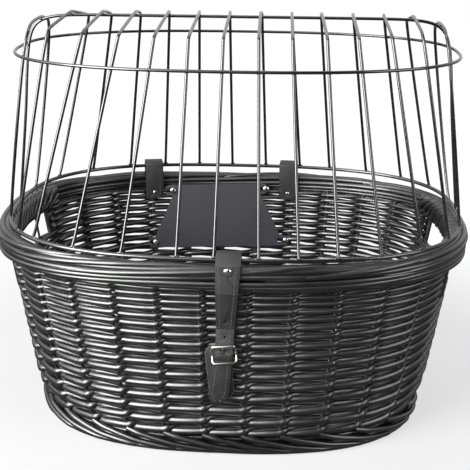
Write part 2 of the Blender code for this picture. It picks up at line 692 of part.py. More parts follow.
def build_lid(pivot):
    """Wire dome: base ring, middle hoop, ridge wire and the arches between them."""
    hoop_growth = 2.0 * DOME_WIRE_RADIUS + 4.0 * GAP
    wires = [oval_wire("lid_base_ring", 0.0, 0.0, RING_WIRE_RADIUS),
             oval_wire("lid_mid_hoop", 1.0 - HOOP_DROP / DOME_HEIGHT, hoop_growth, DOME_WIRE_RADIUS),
             add_wire("lid_ridge_wire", ridge_points(), DOME_WIRE_RADIUS)]
    arches = zip(FRONT_FOOT_SHARES, FRONT_SHOULDER_SHARES, RIDGE_SHARES,
                 BACK_SHOULDER_SHARES, BACK_FOOT_SHARES)
    for number, arch_shares in enumerate(arches, start=1):
        front_x, front_shoulder_x, ridge_x, back_shoulder_x, back_x = (
            share * RING_HALF_LENGTH for share in arch_shares)
        front_half = arch_half(front_x, front_shoulder_x, ridge_x, -1.0)
        back_half = arch_half(back_x, back_shoulder_x, ridge_x, 1.0)
        wires.append(add_wire(f"lid_arch_{number:02d}", front_half + back_half[-2::-1], DOME_WIRE_RADIUS))
    for wire in wires:
        carry(wire, pivot)
    return wires


def round_corners(points, radius):
    """Return a path whose inner corners are arcs."""
    path = [points[0].copy()]
    for before, corner, after in zip(points, points[1:], points[2:]):
        back = (before - corner).normalized()
        ahead = (after - corner).normalized()
        bend = back.angle(ahead)
        shorter = min((before - corner).length, (after - corner).length)
        reach = min(radius / math.tan(bend / 2.0), 0.49 * shorter)
        real_radius = reach * math.tan(bend / 2.0)
        centre = corner + (back + ahead).normalized() * real_radius / math.sin(bend / 2.0)
        start = corner + back * reach - centre
        sweep = math.pi - bend
        for step in range(BEND_STEPS + 1):
            turn = sweep * step / BEND_STEPS
            path.append(centre + start * math.cos(turn) - back * real_radius * math.sin(turn))
    path.append(points[-1].copy())
    return path


def fill_in(path, longest):
    """Return a path with points added where two lie further apart than a length."""
    filled = [path[0]]
    for before, after in zip(path, path[1:]):
        parts = math.ceil((after - before).length / longest)
        filled += [before.lerp(after, part / parts) for part in range(1, parts + 1)]
    return filled


def add_strap(name, path, widths, thickness, frame, drifts=None):
    """Add a flat strap: a path in the frame's Y-Z plane, with a width at each of its points."""
    rings = []
    for index, point in enumerate(path):
        before = path[max(index - 1, 0)]
        after = path[min(index + 1, len(path) - 1)]
        if 0 < index < len(path) - 1:
            first = (point - before).normalized()
            second = (after - point).normalized()
            along = (first + second).normalized()
            stretch = 1.0 / max(along.dot(first), 0.5)
        else:
            along = (after - before).normalized()
            stretch = 1.0
        normal = X_AXIS.cross(along) * thickness / 2.0 * stretch
        half = widths[index] / 2.0
        drift = drifts[index] if drifts else 0.0
        corners = ((-half, normal), (half, normal), (half, -normal), (-half, -normal))
        rings.append([frame @ (point + offset + X_AXIS * (side + drift)) for side, offset in corners])
    vertices, faces = skin_rings(rings, closed_path=False)
    return add_mesh_object(name, vertices, faces, leather_finish)


def axis_frame(origin, direction):
    """Return a frame at a point whose Z runs along a direction."""
    return Matrix.Translation(origin) @ direction.to_track_quat("Z", "Y").to_matrix().to_4x4()


def slot_outline(half_length, half_width, upright=False):
    """Return a slot's outline with round ends in the X-Z plane, along X or upright."""
    outline = []
    straight = half_length - half_width
    for centre, start in ((straight, -0.5 * math.pi), (-straight, 0.5 * math.pi)):
        for step in range(EAR_STEPS + 1):
            turn = start + math.pi * step / EAR_STEPS
            along = centre + half_width * math.cos(turn)
            across = half_width * math.sin(turn)
            outline.append(Vector((across, 0.0, along)) if upright else Vector((along, 0.0, across)))
    return outline


def add_prism(name, outline, direction, reach):
    """Add a straight cutter that runs equally far both ways from an outline."""
    rings = [[point + direction * offset for point in outline] for offset in (-reach, reach)]
    vertices, faces = skin_rings(rings, closed_path=False)
    return add_mesh_object(name, vertices, faces, None, smooth=False)


def add_rod(name, origin, direction, start, end, radius, finish, sides=ROUND_SIDES):
    """Add a plain round rod between two distances along a line."""
    return add_turned(name, origin, direction, [(radius, start), (radius, end)], finish, sides)


def add_turned(name, origin, direction, profile, finish, sides=ROUND_SIDES):
    """Add a solid turned round a line, from (radius, distance) pairs."""
    frame = axis_frame(origin, direction)
    rings = []
    for radius, distance in profile:
        rings.append([frame @ Vector((radius * math.cos(math.tau * side / sides),
                                      radius * math.sin(math.tau * side / sides), distance))
                      for side in range(sides)])
    vertices, faces = skin_rings(rings, closed_path=False)
    return add_mesh_object(name, vertices, faces, finish)


def add_turned_ring(name, origin, direction, profile, finish, sides=ROUND_SIDES):
    """Add a pierced solid turned round a line, from a closed loop of (radius, distance) pairs."""
    frame = axis_frame(origin, direction)
    rings = []
    for side in range(sides):
        turn = math.tau * side / sides
        rings.append([frame @ Vector((radius * math.cos(turn), radius * math.sin(turn), distance))
                      for radius, distance in profile])
    vertices, faces = skin_rings(rings, closed_path=True)
    return add_mesh_object(name, vertices, faces, finish)


def rim_depth(x):
    """Return how deep (|Y|) the wall's outer top line lies at an x."""
    share = abs(x / BODY_HALF_LENGTH_TOP) ** OUTLINE_POWER_TOP
    return BODY_HALF_DEPTH_TOP * (1.0 - share) ** (1.0 / OUTLINE_POWER_TOP)


def ring_depth(x):
    """Return how deep (|Y|) the lid's base ring lies at an x."""
    return dome_depth(x - LID_SHIFT, 0.0)


def hinge_frame(x):
    """Return a frame on the back rim's top: X along the rim, Y outwards, Z up."""
    point, outward = rim_frame(Vector((x, rim_depth(x), 0.0)))
    along = outward.cross(Z_AXIS)
    frame = Matrix((along, outward, Z_AXIS)).transposed().to_4x4()
    return Matrix.Translation(point) @ frame


def hinge_axis():
    """Return the base ring's two points in the hinge straps, left then right."""
    return [Vector((x, ring_depth(x), RING_HEIGHT)) for x in (HINGE_STRAP_LEFT, HINGE_STRAP_RIGHT)]


def build_hinge_strap(side, x, ring_point):
    """Leather loop round the rim and the base ring, its ends riveted together inside."""
    frame = hinge_frame(x)
    ring = frame.inverted() @ ring_point
    half = HINGE_STRAP_THICKNESS / 2.0
    wall_face = wall_face_depth(x, HINGE_STRAP_LOW, inside=True) - WEAVE_RELIEF - rim_depth(x)
    second = wall_face - 2.0 * GAP - half
    inner = second - HINGE_STRAP_THICKNESS - GAP
    outer = RIM_OUTER_REACH + 2.0 * GAP + half
    top = ring.z + RING_WIRE_RADIUS + HINGE_RING_ROOM + half
    under = -RIM_HEIGHT - 2.0 * GAP - half
    low = HINGE_STRAP_LOW - frame.translation.z
    tail = -RIM_SEAT_DEPTH * 0.8
    corners = [Vector((0.0, inner, low)), Vector((0.0, inner, top)),
               Vector((0.0, ring.y + RING_WIRE_RADIUS + HINGE_RING_ROOM + HINGE_STRAP_BEND, top)),
               Vector((0.0, outer, -RIM_HEIGHT * 0.15)), Vector((0.0, outer, under)),
               Vector((0.0, second, under)), Vector((0.0, second, tail))]
    path = round_corners(corners, HINGE_STRAP_BEND)
    widths = [HINGE_STRAP_WIDTH] * len(path)
    strap = add_strap(f"hinge_strap_{side}", path, widths, HINGE_STRAP_THICKNESS, frame)
    middle = Vector((0.0, (inner + second) / 2.0, HINGE_RIVET_HEIGHT - frame.translation.z))
    reach = HINGE_STRAP_THICKNESS + GAP / 2.0
    direction = -(frame.to_3x3() @ Y_AXIS)
    cut(strap, add_rod(f"hinge_rivet_cutter_{side}", frame @ middle, direction, -reach - CUT_OVERRUN / 4.0,
                       reach + CUT_OVERRUN / 4.0, HINGE_RIVET_SHANK_RADIUS + GAP, None))
    face = reach + GAP
    head = HINGE_RIVET_HEAD_HEIGHT
    profile = [(HINGE_RIVET_HEAD_RADIUS * 0.8, -face - head), (HINGE_RIVET_HEAD_RADIUS, -face),
               (HINGE_RIVET_SHANK_RADIUS, -face), (HINGE_RIVET_SHANK_RADIUS, face),
               (HINGE_RIVET_HEAD_RADIUS, face), (HINGE_RIVET_HEAD_RADIUS * 0.6, face + head)]
    rivet = add_turned(f"hinge_rivet_{side}", frame @ middle, direction, profile, nickel_finish)
    return strap, rivet


def closure_frame():
    """Return the front closure's frame: Y into the basket, Z up.

    Its origin is at the buckle's height, on the wall's outer face.
    """
    x = CLOSURE_X - CLOSURE_DRIFT
    depth = wall_face_depth(x, BUCKLE_HEIGHT_ABOVE_FLOOR) + WEAVE_RELIEF
    return Matrix.Translation((x, -depth, BUCKLE_HEIGHT_ABOVE_FLOOR))


def buckle_frame():
    """Return the buckle's own frame, rolled a little on the wall."""
    return closure_frame() @ Matrix.Rotation(-BUCKLE_ROLL, 4, "Y")


def wall_stand(rise):
    """Return the wall's face in the closure frame's Y at a height above the buckle."""
    origin = closure_frame().translation
    return -(wall_face_depth(origin.x, origin.z + rise) + WEAVE_RELIEF) - origin.y


def closure_path():
    """Return the lid strap's path: a loop on the base ring, the run through the buckle, and the tail."""
    frame = closure_frame()
    half = CLOSURE_THICKNESS / 2.0
    ring = frame.inverted() @ Vector((CLOSURE_X, -ring_depth(CLOSURE_X), RING_HEIGHT))
    rim_y = -rim_depth(CLOSURE_X)
    rim = frame.inverted() @ Vector((CLOSURE_X, rim_y, rim_top(CLOSURE_X, rim_y)))
    rear = rim.y - RIM_OUTER_REACH - 2.0 * GAP - half
    front = rear - CLOSURE_THICKNESS - GAP
    crown = rim.z + 2.0 * GAP + half
    under_ring = ring.z - RING_WIRE_RADIUS - GAP - half
    inside = ring.y + RING_WIRE_RADIUS + 2.0 * GAP + half
    top = ring.z + CLOSURE_LOOP_RISE
    bar_rise = BUCKLE_HEIGHT / 2.0 - BUCKLE_BAR_RADIUS
    over_bar = -(CENTRE_BAR_STAND + BUCKLE_BAR_RADIUS + ANCHOR_THICKNESS + 3.0 * GAP + half)
    behind_ends = -(CENTRE_BAR_STAND + BUCKLE_BOW - BUCKLE_BAR_RADIUS - 3.0 * GAP - half)
    roll_rise = BUCKLE_WIDTH / 2.0 * math.sin(BUCKLE_ROLL)
    bar_half = BUCKLE_BAR_RADIUS + roll_rise
    top_window = bar_rise - BUCKLE_TOP_BAR_HALF_HEIGHT - roll_rise
    low_window = bar_rise - BUCKLE_BAR_RADIUS - roll_rise
    tail = -(PATCH_THICKNESS + 2.0 * ANCHOR_THICKNESS + ANCHOR_RIVET_HEAD_HEIGHT + 7.0 * GAP + half)
    corners = [(rear, closure_rivet_rise() - 1.4 * CLOSURE_RIVET_RADIUS), (rear, crown),
               (rim.y - RIM_OUTER_REACH * 0.45, crown),
               (ring.y - RING_WIRE_RADIUS, under_ring), (inside, under_ring),
               (inside, top), (ring.y - CLOSURE_BEND, top), (front, crown + CLOSURE_THICKNESS),
               (front, rim.z - RIM_HEIGHT),
               (wall_stand(3.0 * bar_rise) - 2.0 * GAP - half, 3.0 * bar_rise),
               (behind_ends, bar_rise + bar_half), (behind_ends, top_window), (over_bar, bar_half),
               (over_bar, -bar_half), (behind_ends, -low_window), (behind_ends, -bar_rise - bar_half),
               (tail + wall_stand(-ANCHOR_RIVET_DROP), -ANCHOR_RIVET_DROP),
               (tail + wall_stand(-CLOSURE_TIP_DROP), -CLOSURE_TIP_DROP)]
    return round_corners([Vector((0.0, depth, rise)) for depth, rise in corners], CLOSURE_BEND)


def closure_rivet_rise():
    return CLOSURE_RIVET_HEIGHT - BUCKLE_HEIGHT_ABOVE_FLOOR


def closure_share(rise):
    """Return the share of the way from the buckle's top up to the base ring."""
    ring_rise = RING_HEIGHT - BUCKLE_HEIGHT_ABOVE_FLOOR
    return min(1.0, max(0.0, (rise - BUCKLE_HEIGHT) / (ring_rise - BUCKLE_HEIGHT)))


def closure_drift(rise):
    """Return how far the leaning lid strap's middle lies towards +X at a height above the buckle."""
    if rise < 0.0:
        return TAIL_DRIFT * max(-1.0, rise / CLOSURE_TIP_DROP)
    return CLOSURE_DRIFT * min(1.0, rise / (RING_HEIGHT - BUCKLE_HEIGHT_ABOVE_FLOOR))


def point_tail(path):
    """Return the strap's path with a width at each point: narrower downwards, then a pointed tail."""
    tip = path[-1]
    upwards = (path[-2] - tip).normalized() * CLOSURE_WIDTH_TAIL
    shoulder = tip + upwards * 0.62
    path = path[:-1] + [shoulder, tip + upwards * 0.22, tip]
    widths = []
    for point in path:
        width = CLOSURE_WIDTH_BUCKLE
        width += (CLOSURE_WIDTH_TOP - CLOSURE_WIDTH_BUCKLE) * closure_share(point.z)
        if point.z < 0.0:
            width += (CLOSURE_WIDTH_TAIL - CLOSURE_WIDTH_BUCKLE) * min(1.0, point.z / shoulder.z)
        widths.append(width)
    widths[-2] = CLOSURE_WIDTH_TAIL * 0.72
    widths[-1] = CLOSURE_WIDTH_TAIL * 0.34
    return path, widths


def build_closure_strap(pivot):
    """Lid strap with its punched holes, and the rivet that closes its loop."""
    frame = closure_frame()
    path, widths = point_tail(closure_path())
    drifts = [closure_drift(point.z) for point in path]
    strap = add_strap("closure_strap", path, widths, CLOSURE_THICKNESS, frame, drifts)
    tilt = buckle_frame()
    hole = slot_outline(TONGUE_HOLE_LENGTH / 2.0, TONGUE_RADIUS + 2.0 * GAP, upright=True)
    cut(strap, add_prism("tongue_hole_cutter", [tilt @ (point + Z_AXIS * TONGUE_HOLE_RISE) for point in hole],
                         -Y_AXIS, CUT_OVERRUN * 2.0))
    for number in range(PUNCH_COUNT):
        rise = PUNCH_FIRST_RISE + PUNCH_PITCH * number
        cut(strap, add_rod(f"punch_cutter_{number + 1}", frame @ Vector((closure_drift(rise), 0.0, rise)),
                           Y_AXIS, -3.0 * CUT_OVERRUN, 0.0, PUNCH_RADIUS, None, PUNCH_SIDES))
    rear = path[0].y
    rise = closure_rivet_rise()
    between = (CLOSURE_THICKNESS + GAP) / 2.0
    rivet_point = frame @ Vector((closure_drift(rise), rear - between, rise))
    reach = CLOSURE_THICKNESS + GAP / 2.0
    cut(strap, add_rod("closure_rivet_cutter", rivet_point, -Y_AXIS, -reach - 2.0 * GAP, reach + 2.0 * GAP,
                       CLOSURE_RIVET_SHANK_RADIUS + GAP, None))
    face = reach + GAP
    profile = [(CLOSURE_RIVET_SHANK_RADIUS, -reach), (CLOSURE_RIVET_SHANK_RADIUS, face),
               (CLOSURE_RIVET_RADIUS, face), (CLOSURE_RIVET_RADIUS * 0.96, face + CLOSURE_RIVET_DOME * 0.35),
               (CLOSURE_RIVET_RADIUS * 0.72, face + CLOSURE_RIVET_DOME * 0.8),
               (CLOSURE_RIVET_RADIUS * 0.30, face + CLOSURE_RIVET_DOME)]
    rivet = add_turned("closure_rivet", rivet_point, -Y_AXIS, profile, nickel_finish)
    for item in (strap, rivet):
        carry(item, pivot)
    return strap, rivet


def anchor_drift(rise):
    """Return the leaning anchor strap's shift to the side at a height above the buckle's middle."""
    start = BUCKLE_HEIGHT / 2.0
    return -ANCHOR_DRIFT * min(1.0, max(0.0, -rise - start) / (ANCHOR_LENGTH - start))


def anchor_rivet_line():
    """Return the anchor rivet's place on the wall's face and the wall's outward direction there."""
    frame = buckle_frame()
    rise = -ANCHOR_RIVET_DROP
    slope = (wall_stand(rise + ANCHOR_WIDTH / 2.0) - wall_stand(rise - ANCHOR_WIDTH / 2.0)) / ANCHOR_WIDTH
    outward = frame.to_3x3() @ Vector((0.0, -1.0, slope)).normalized()
    return frame @ Vector((anchor_drift(rise), wall_stand(rise), rise)), outward


def anchor_path():
    """Return the anchor strap's path: up the wall, round the centre bar and down again in front."""
    half = ANCHOR_THICKNESS / 2.0
    fold = BUCKLE_BAR_RADIUS + GAP + half
    second = ANCHOR_THICKNESS + GAP
    low = -ANCHOR_LENGTH
    patch = PATCH_THICKNESS + 2.0 * GAP
    back = [Vector((0.0, wall_stand(rise) - patch - half, rise))
            for rise in (low, -ANCHOR_RIVET_DROP, -ANCHOR_FOLD_DROP)]
    path = back + [Vector((0.0, -CENTRE_BAR_STAND + fold, 0.0))]
    for step in range(1, 2 * BEND_STEPS):
        turn = math.pi * step / (2 * BEND_STEPS)
        path.append(Vector((0.0, -CENTRE_BAR_STAND + fold * math.cos(turn), fold * math.sin(turn))))
    path += [Vector((0.0, -CENTRE_BAR_STAND - fold, 0.0)),
             Vector((0.0, -CENTRE_BAR_STAND - fold * 0.9, -BUCKLE_BAR_RADIUS * 1.5)),
             back[2] - Y_AXIS * (second + GAP), back[1] - Y_AXIS * second, back[0] - Y_AXIS * second]
    return path


def build_anchor():
    """Anchor strap, folded over the buckle's centre bar, with its rivet and washer."""
    frame = buckle_frame()
    path = anchor_path()
    drifts = [anchor_drift(point.z) for point in path]
    strap = add_strap("anchor_strap", path, [ANCHOR_WIDTH] * len(path), ANCHOR_THICKNESS, frame, drifts)
    eye_reach = BUCKLE_BAR_RADIUS + 2.0 * TONGUE_RADIUS + 3.0 * GAP
    corners = slot_outline(eye_reach, TONGUE_SLOT_WIDTH / 2.0, upright=True)
    outline = [frame @ point for point in corners]
    cut(strap, add_prism("tongue_slot_cutter", outline, -Y_AXIS, CUT_OVERRUN * 2.0))
    place, outward = anchor_rivet_line()
    layers = PATCH_THICKNESS + 2.0 * ANCHOR_THICKNESS + 3.0 * GAP
    cut(strap, add_rod("anchor_rivet_cutter", place, outward, -CUT_OVERRUN, layers + CUT_OVERRUN,
                       ANCHOR_RIVET_SHANK_RADIUS + GAP, None))
    wall_reach = WALL_THICKNESS + 2.0 * WEAVE_RELIEF + 3.0 * GAP
    inner_face = -wall_reach - WASHER_THICKNESS
    tail_radius = ANCHOR_RIVET_SHANK_RADIUS * 1.8
    head = layers + 2.0 * GAP
    profile = [(tail_radius, inner_face - GAP - ANCHOR_RIVET_HEAD_HEIGHT), (tail_radius, inner_face - GAP),
               (ANCHOR_RIVET_SHANK_RADIUS, inner_face - GAP), (ANCHOR_RIVET_SHANK_RADIUS, head),
               (ANCHOR_RIVET_RADIUS, head), (ANCHOR_RIVET_RADIUS * 0.7, head + ANCHOR_RIVET_HEAD_HEIGHT)]
    rivet = add_turned("anchor_rivet", place, outward, profile, nickel_finish)
    bore = ANCHOR_RIVET_SHANK_RADIUS + GAP
    loop = [(bore, inner_face), (WASHER_RADIUS, inner_face), (WASHER_RADIUS, inner_face + WASHER_THICKNESS),
            (bore, inner_face + WASHER_THICKNESS)]
    washer = add_turned_ring("anchor_washer", place, outward, loop, nickel_finish)
    return strap, rivet, washer


def build_patch():
    """Leather patch with rounded corners, between the anchor strap and the wall."""
    length = PATCH_RISE + PATCH_DROP
    ends = [(share, width) for share, width in PATCH_END_SHARES]
    stations = [(PATCH_RISE - share * PATCH_WIDTH, width) for share, width in ends]
    stations += [(PATCH_RISE - length / 2.0, 1.0)]
    stations += [(-PATCH_DROP + share * PATCH_WIDTH, width) for share, width in ends[::-1]]
    path = [Vector((0.0, wall_stand(rise) - GAP - PATCH_THICKNESS / 2.0, rise)) for rise, _ in stations]
    widths = [PATCH_WIDTH * width for _, width in stations]
    shifts = [-PATCH_SHIFT] * len(path)
    patch = add_strap("anchor_patch", path, widths, PATCH_THICKNESS, buckle_frame(), shifts)
    place, outward = anchor_rivet_line()
    cut(patch, add_rod("patch_rivet_cutter", place, outward, -CUT_OVERRUN, CUT_OVERRUN,
                       ANCHOR_RIVET_SHANK_RADIUS + GAP, None))
    return patch


def build_buckle(pivot):
    """Centre-bar buckle: a bowed frame whose top bar is flat and wide, and its centre bar."""
    frame = buckle_frame() @ Matrix.Translation((0.0, -CENTRE_BAR_STAND, 0.0))
    half_width = BUCKLE_WIDTH / 2.0 - BUCKLE_BAR_RADIUS
    half_height = BUCKLE_HEIGHT / 2.0 - BUCKLE_BAR_RADIUS
    corners = [(0.0, half_height), (half_width, half_height), (half_width, -half_height),
               (-half_width, -half_height), (-half_width, half_height), (0.0, half_height)]
    outline = fill_in(round_corners([Vector((x, 0.0, z)) for x, z in corners], BUCKLE_CORNER),
                      BUCKLE_HEIGHT / 5.0)[:-1]
    rings = []
    count = len(outline)
    for index, point in enumerate(outline):
        along = (outline[(index + 1) % count] - outline[index - 1]).normalized()
        across = along.cross(Y_AXIS)
        bow = Vector((0.0, -BUCKLE_BOW * (abs(point.z) / half_height) ** 1.6, 0.0))
        flatness = max(0.0, point.z / half_height) ** 8
        wide = BUCKLE_BAR_RADIUS + (BUCKLE_TOP_BAR_HALF_HEIGHT - BUCKLE_BAR_RADIUS) * flatness
        ring = []
        for side in range(BAR_SIDES):
            turn = math.tau * (side + 0.5) / BAR_SIDES
            ring.append(frame @ (point + bow + across * wide * math.cos(turn)
                                 + Y_AXIS * BUCKLE_BAR_RADIUS * math.sin(turn)))
        rings.append(ring)
    vertices, faces = skin_rings(rings, closed_path=True)
    buckle = add_mesh_object("buckle_frame", vertices, faces, nickel_finish)
    bar = add_rod("centre_bar_shape", frame.translation, frame.to_3x3() @ X_AXIS, -half_width, half_width,
                  BUCKLE_BAR_RADIUS, None)
    bar.hide_render = True
    bar.display_type = "WIRE"
    joined = buckle.modifiers.new("centre_bar", "BOOLEAN")
    joined.operation = "UNION"
    joined.solver = "EXACT"
    joined.object = bar
    carry(buckle, pivot)
    return buckle


def build_tongue(pivot):
    """Buckle tongue: an eye round the centre bar and a prong through the strap, on to the top bar."""
    frame = buckle_frame() @ Matrix.Translation((0.0, -CENTRE_BAR_STAND, 0.0))
    eye = BUCKLE_BAR_RADIUS + GAP + TONGUE_RADIUS
    top_bar = BUCKLE_HEIGHT / 2.0 - BUCKLE_BAR_RADIUS
    rest = -(BUCKLE_BOW + BUCKLE_BAR_RADIUS + GAP + TONGUE_RADIUS)
    points = []
    start = math.radians(75)
    sweep = math.radians(300)
    for step in range(EYE_STEPS + 1):
        turn = start - sweep * step / EYE_STEPS
        points.append(Vector((0.0, eye * math.cos(turn), eye * math.sin(turn))))
    points += [Vector((0.0, rest, top_bar - BUCKLE_TOP_BAR_HALF_HEIGHT)),
               Vector((0.0, rest, top_bar + BUCKLE_TOP_BAR_HALF_HEIGHT))]
    rings = []
    for index, point in enumerate(points):
        along = (points[min(index + 1, len(points) - 1)] - points[max(index - 1, 0)]).normalized()
        across = along.cross(X_AXIS)
        ring = []
        for side in range(TONGUE_SIDES):
            turn = math.tau * side / TONGUE_SIDES
            ring.append(frame @ (point + X_AXIS * TONGUE_RADIUS * math.cos(turn)
                                 + across * TONGUE_RADIUS * math.sin(turn)))
        rings.append(ring)
    vertices, faces = skin_rings(rings, closed_path=False)
    tongue = add_mesh_object("buckle_tongue", vertices, faces, nickel_finish)
    carry(tongue, pivot)
    return tongue


def plate_frame():
    """Return the mounting plate's frame: X along it, Y through the wall, Z up along its slope.

    Its back face touches the wall's inner face at the lower ears.
    """
    half = PLATE_BOTTOM_SPACING / 2.0 + PLATE_EAR_RADIUS
    left = Vector((PLATE_X - half, wall_face_depth(PLATE_X - half, PLATE_MIDDLE_HEIGHT, inside=True), 0.0))
    right = Vector((PLATE_X + half, wall_face_depth(PLATE_X + half, PLATE_MIDDLE_HEIGHT, inside=True), 0.0))
    along = (right - left).normalized()
    low = PLATE_MIDDLE_HEIGHT - PLATE_ROW_SPACING / 2.0
    high = PLATE_MIDDLE_HEIGHT + PLATE_ROW_SPACING / 2.0
    rise = Vector((0.0, wall_face_depth(PLATE_X - half, high, inside=True)
                   - wall_face_depth(PLATE_X - half, low, inside=True), high - low)).normalized()
    through = rise.cross(along).normalized()
    through = -through if through.y < 0.0 else through
    rise = along.cross(through).normalized()
    middle = (left + right) / 2.0
    middle.z = PLATE_MIDDLE_HEIGHT
    middle -= through * (WEAVE_RELIEF + 2.0 * GAP)
    turned = Matrix((along, through, rise)).transposed().to_4x4()
    return Matrix.Translation(middle) @ turned @ Matrix.Rotation(-PLATE_ROLL, 4, "Y")


def slot_offsets():
    """Return the four slots' places on the plate, top pair first."""
    half_row = PLATE_ROW_SPACING / 2.0
    top = PLATE_TOP_SPACING / 2.0
    bottom = PLATE_BOTTOM_SPACING / 2.0
    return [(-top, half_row), (top, half_row), (-bottom, -half_row), (bottom, -half_row)]


def screw_places():
    frame = plate_frame()
    return [frame @ Vector((x + SCREW_OFF_CENTRE, 0.0, z)) for x, z in slot_offsets()]


def plate_normal():
    """Return the direction through the wall, outwards at the back."""
    return (plate_frame().to_3x3() @ Y_AXIS).normalized()


def plate_outline():
    """Return the plate's outline: a trapezoid with a rounded ear sticking out sideways at each corner."""
    top_left, top_right, bottom_left, bottom_right = slot_offsets()
    outline = []
    for (x, z), sign, rows in ((top_right, 1.0, "top"), (bottom_right, 1.0, "bottom"),
                               (bottom_left, -1.0, "bottom"), (top_left, -1.0, "top")):
        ear = []
        for step in range(EAR_STEPS + 1):
            turn = math.pi * (0.5 - step / EAR_STEPS)
            ear.append(Vector((x + sign * PLATE_EAR_RADIUS * math.cos(turn), 0.0,
                               z + PLATE_EAR_RADIUS * math.sin(turn))))
        inner = -PLATE_EAR_RADIUS if rows == "top" else PLATE_EAR_RADIUS
        neck = Vector((x - sign * PLATE_EAR_NECK * 0.5, 0.0, z + inner))
        ear = ear + [neck] if rows == "top" else [neck] + ear
        outline += ear if sign > 0.0 else ear[::-1]
    return outline


def build_plate():
    """Mounting plate: a trapezoid with an ear and a slot at each corner."""
    frame = plate_frame()
    outline = plate_outline()
    rings = [[frame @ (point - Y_AXIS * depth) for point in outline] for depth in (0.0, PLATE_THICKNESS)]
    vertices, faces = skin_rings(rings, closed_path=False)
    plate = add_mesh_object("mounting_plate", vertices, faces, plastic_finish, smooth=False)
    through = plate_normal()
    for number, (x, z) in enumerate(slot_offsets(), start=1):
        slot = slot_outline(PLATE_SLOT_LENGTH / 2.0, PLATE_SLOT_WIDTH / 2.0)
        corners = [frame @ (point + Vector((x, 0.0, z))) for point in slot]
        cut(plate, add_prism(f"plate_slot_cutter_{number}", corners, through, CUT_OVERRUN))
    return plate


def nut_seat(place):
    """Return how far outside the plate's back face a screw's nut seats, on the wall or on the rim."""
    rim_bottom = rim_top(place.x, rim_depth(place.x)) - RIM_HEIGHT
    depth = wall_face_depth(place.x, place.z) + WEAVE_RELIEF
    if place.z > rim_bottom - SCREW_SHANK_RADIUS:
        depth = rim_depth(place.x) + RIM_OUTER_REACH
    return (depth - place.y) / plate_normal().y + NUT_SLOPE_ROOM


def build_screw(number, place):
    """Pan-head screw through the plate and the wall, and its flanged nut outside."""
    outward = plate_normal()
    head_face = PLATE_THICKNESS + GAP
    wall_reach = nut_seat(place)
    profile = [(SCREW_HEAD_RADIUS * 0.55, -head_face - SCREW_HEAD_HEIGHT),
               (SCREW_HEAD_RADIUS * 0.9, -head_face - SCREW_HEAD_HEIGHT * 0.75),
               (SCREW_HEAD_RADIUS, -head_face - SCREW_HEAD_HEIGHT * 0.3), (SCREW_HEAD_RADIUS, -head_face),
               (SCREW_SHANK_RADIUS, -head_face), (SCREW_SHANK_RADIUS, wall_reach + NUT_HEIGHT + GAP)]
    screw = add_turned(f"plate_screw_{number}", place, outward, profile, nickel_finish)
    frame = axis_frame(place, outward)
    floor = -head_face - SCREW_HEAD_HEIGHT + SCREW_CROSS_DEPTH
    for mark, (half_x, half_y) in (("a", (SCREW_CROSS_LENGTH / 2.0, SCREW_CROSS_WIDTH / 2.0)),
                                   ("b", (SCREW_CROSS_WIDTH / 2.0, SCREW_CROSS_LENGTH / 2.0))):
        corners = [(-half_x, -half_y), (half_x, -half_y), (half_x, half_y), (-half_x, half_y)]
        rings = [[frame @ Vector((x, y, depth)) for x, y in corners]
                 for depth in (floor - CUT_OVERRUN, floor)]
        vertices, faces = skin_rings(rings, closed_path=False)
        name = f"screw_cross_cutter_{number}{mark}"
        cut(screw, add_mesh_object(name, vertices, faces, None, smooth=False))
    bore = SCREW_SHANK_RADIUS + GAP
    loop = [(bore, wall_reach), (NUT_FLANGE_RADIUS, wall_reach),
            (NUT_FLANGE_RADIUS, wall_reach + NUT_FLANGE_THICKNESS),
            (NUT_RADIUS, wall_reach + NUT_FLANGE_THICKNESS),
            (NUT_RADIUS, wall_reach + NUT_HEIGHT), (bore, wall_reach + NUT_HEIGHT)]
    nut = add_turned_ring(f"plate_nut_{number}", place, outward, loop, nickel_finish, sides=6)
    return screw, nut


def build():
    """Build every piece of the basket."""
    clear_scene()
    build_wall()
    build_floor()
    build_foot()
    build_rim()
    build_grip("left", -1.0)
    build_grip("right", 1.0)
    left_pin, right_pin = hinge_axis()
    build_hinge_strap("left", HINGE_STRAP_LEFT, left_pin)
    build_hinge_strap("right", HINGE_STRAP_RIGHT, right_pin)
    lid_pivot = add_empty("lid_pivot", left_pin)
    build_lid(lid_pivot)
    strap_point = Vector((CLOSURE_X, -ring_depth(CLOSURE_X), RING_HEIGHT))
    strap_pivot = add_empty("strap_pivot", strap_point, lid_pivot)
    build_closure_strap(strap_pivot)
    build_anchor()
    build_patch()
    bar_point = closure_frame() @ Vector((0.0, -CENTRE_BAR_STAND, 0.0))
    buckle_pivot = add_empty("buckle_pivot", bar_point)
    build_buckle(buckle_pivot)
    tongue_pivot = add_empty("tongue_pivot", bar_point, buckle_pivot)
    build_tongue(tongue_pivot)
    build_plate()
    for number, place in enumerate(screw_places(), start=1):
        build_screw(number, place)


build()
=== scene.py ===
"""Dressed view of a dog bicycle basket: black willow basket, hinged wire dome, leather straps.

Metres, +Z up, the buckled front towards -Y, as in the CAD frame.
"""

import logging
import math
from dataclasses import dataclass, field, replace
from enum import Enum
from typing import Callable, Sequence

import bmesh
import bpy
import numpy as np
from mathutils import Matrix, Vector
from mathutils.bvhtree import BVHTree


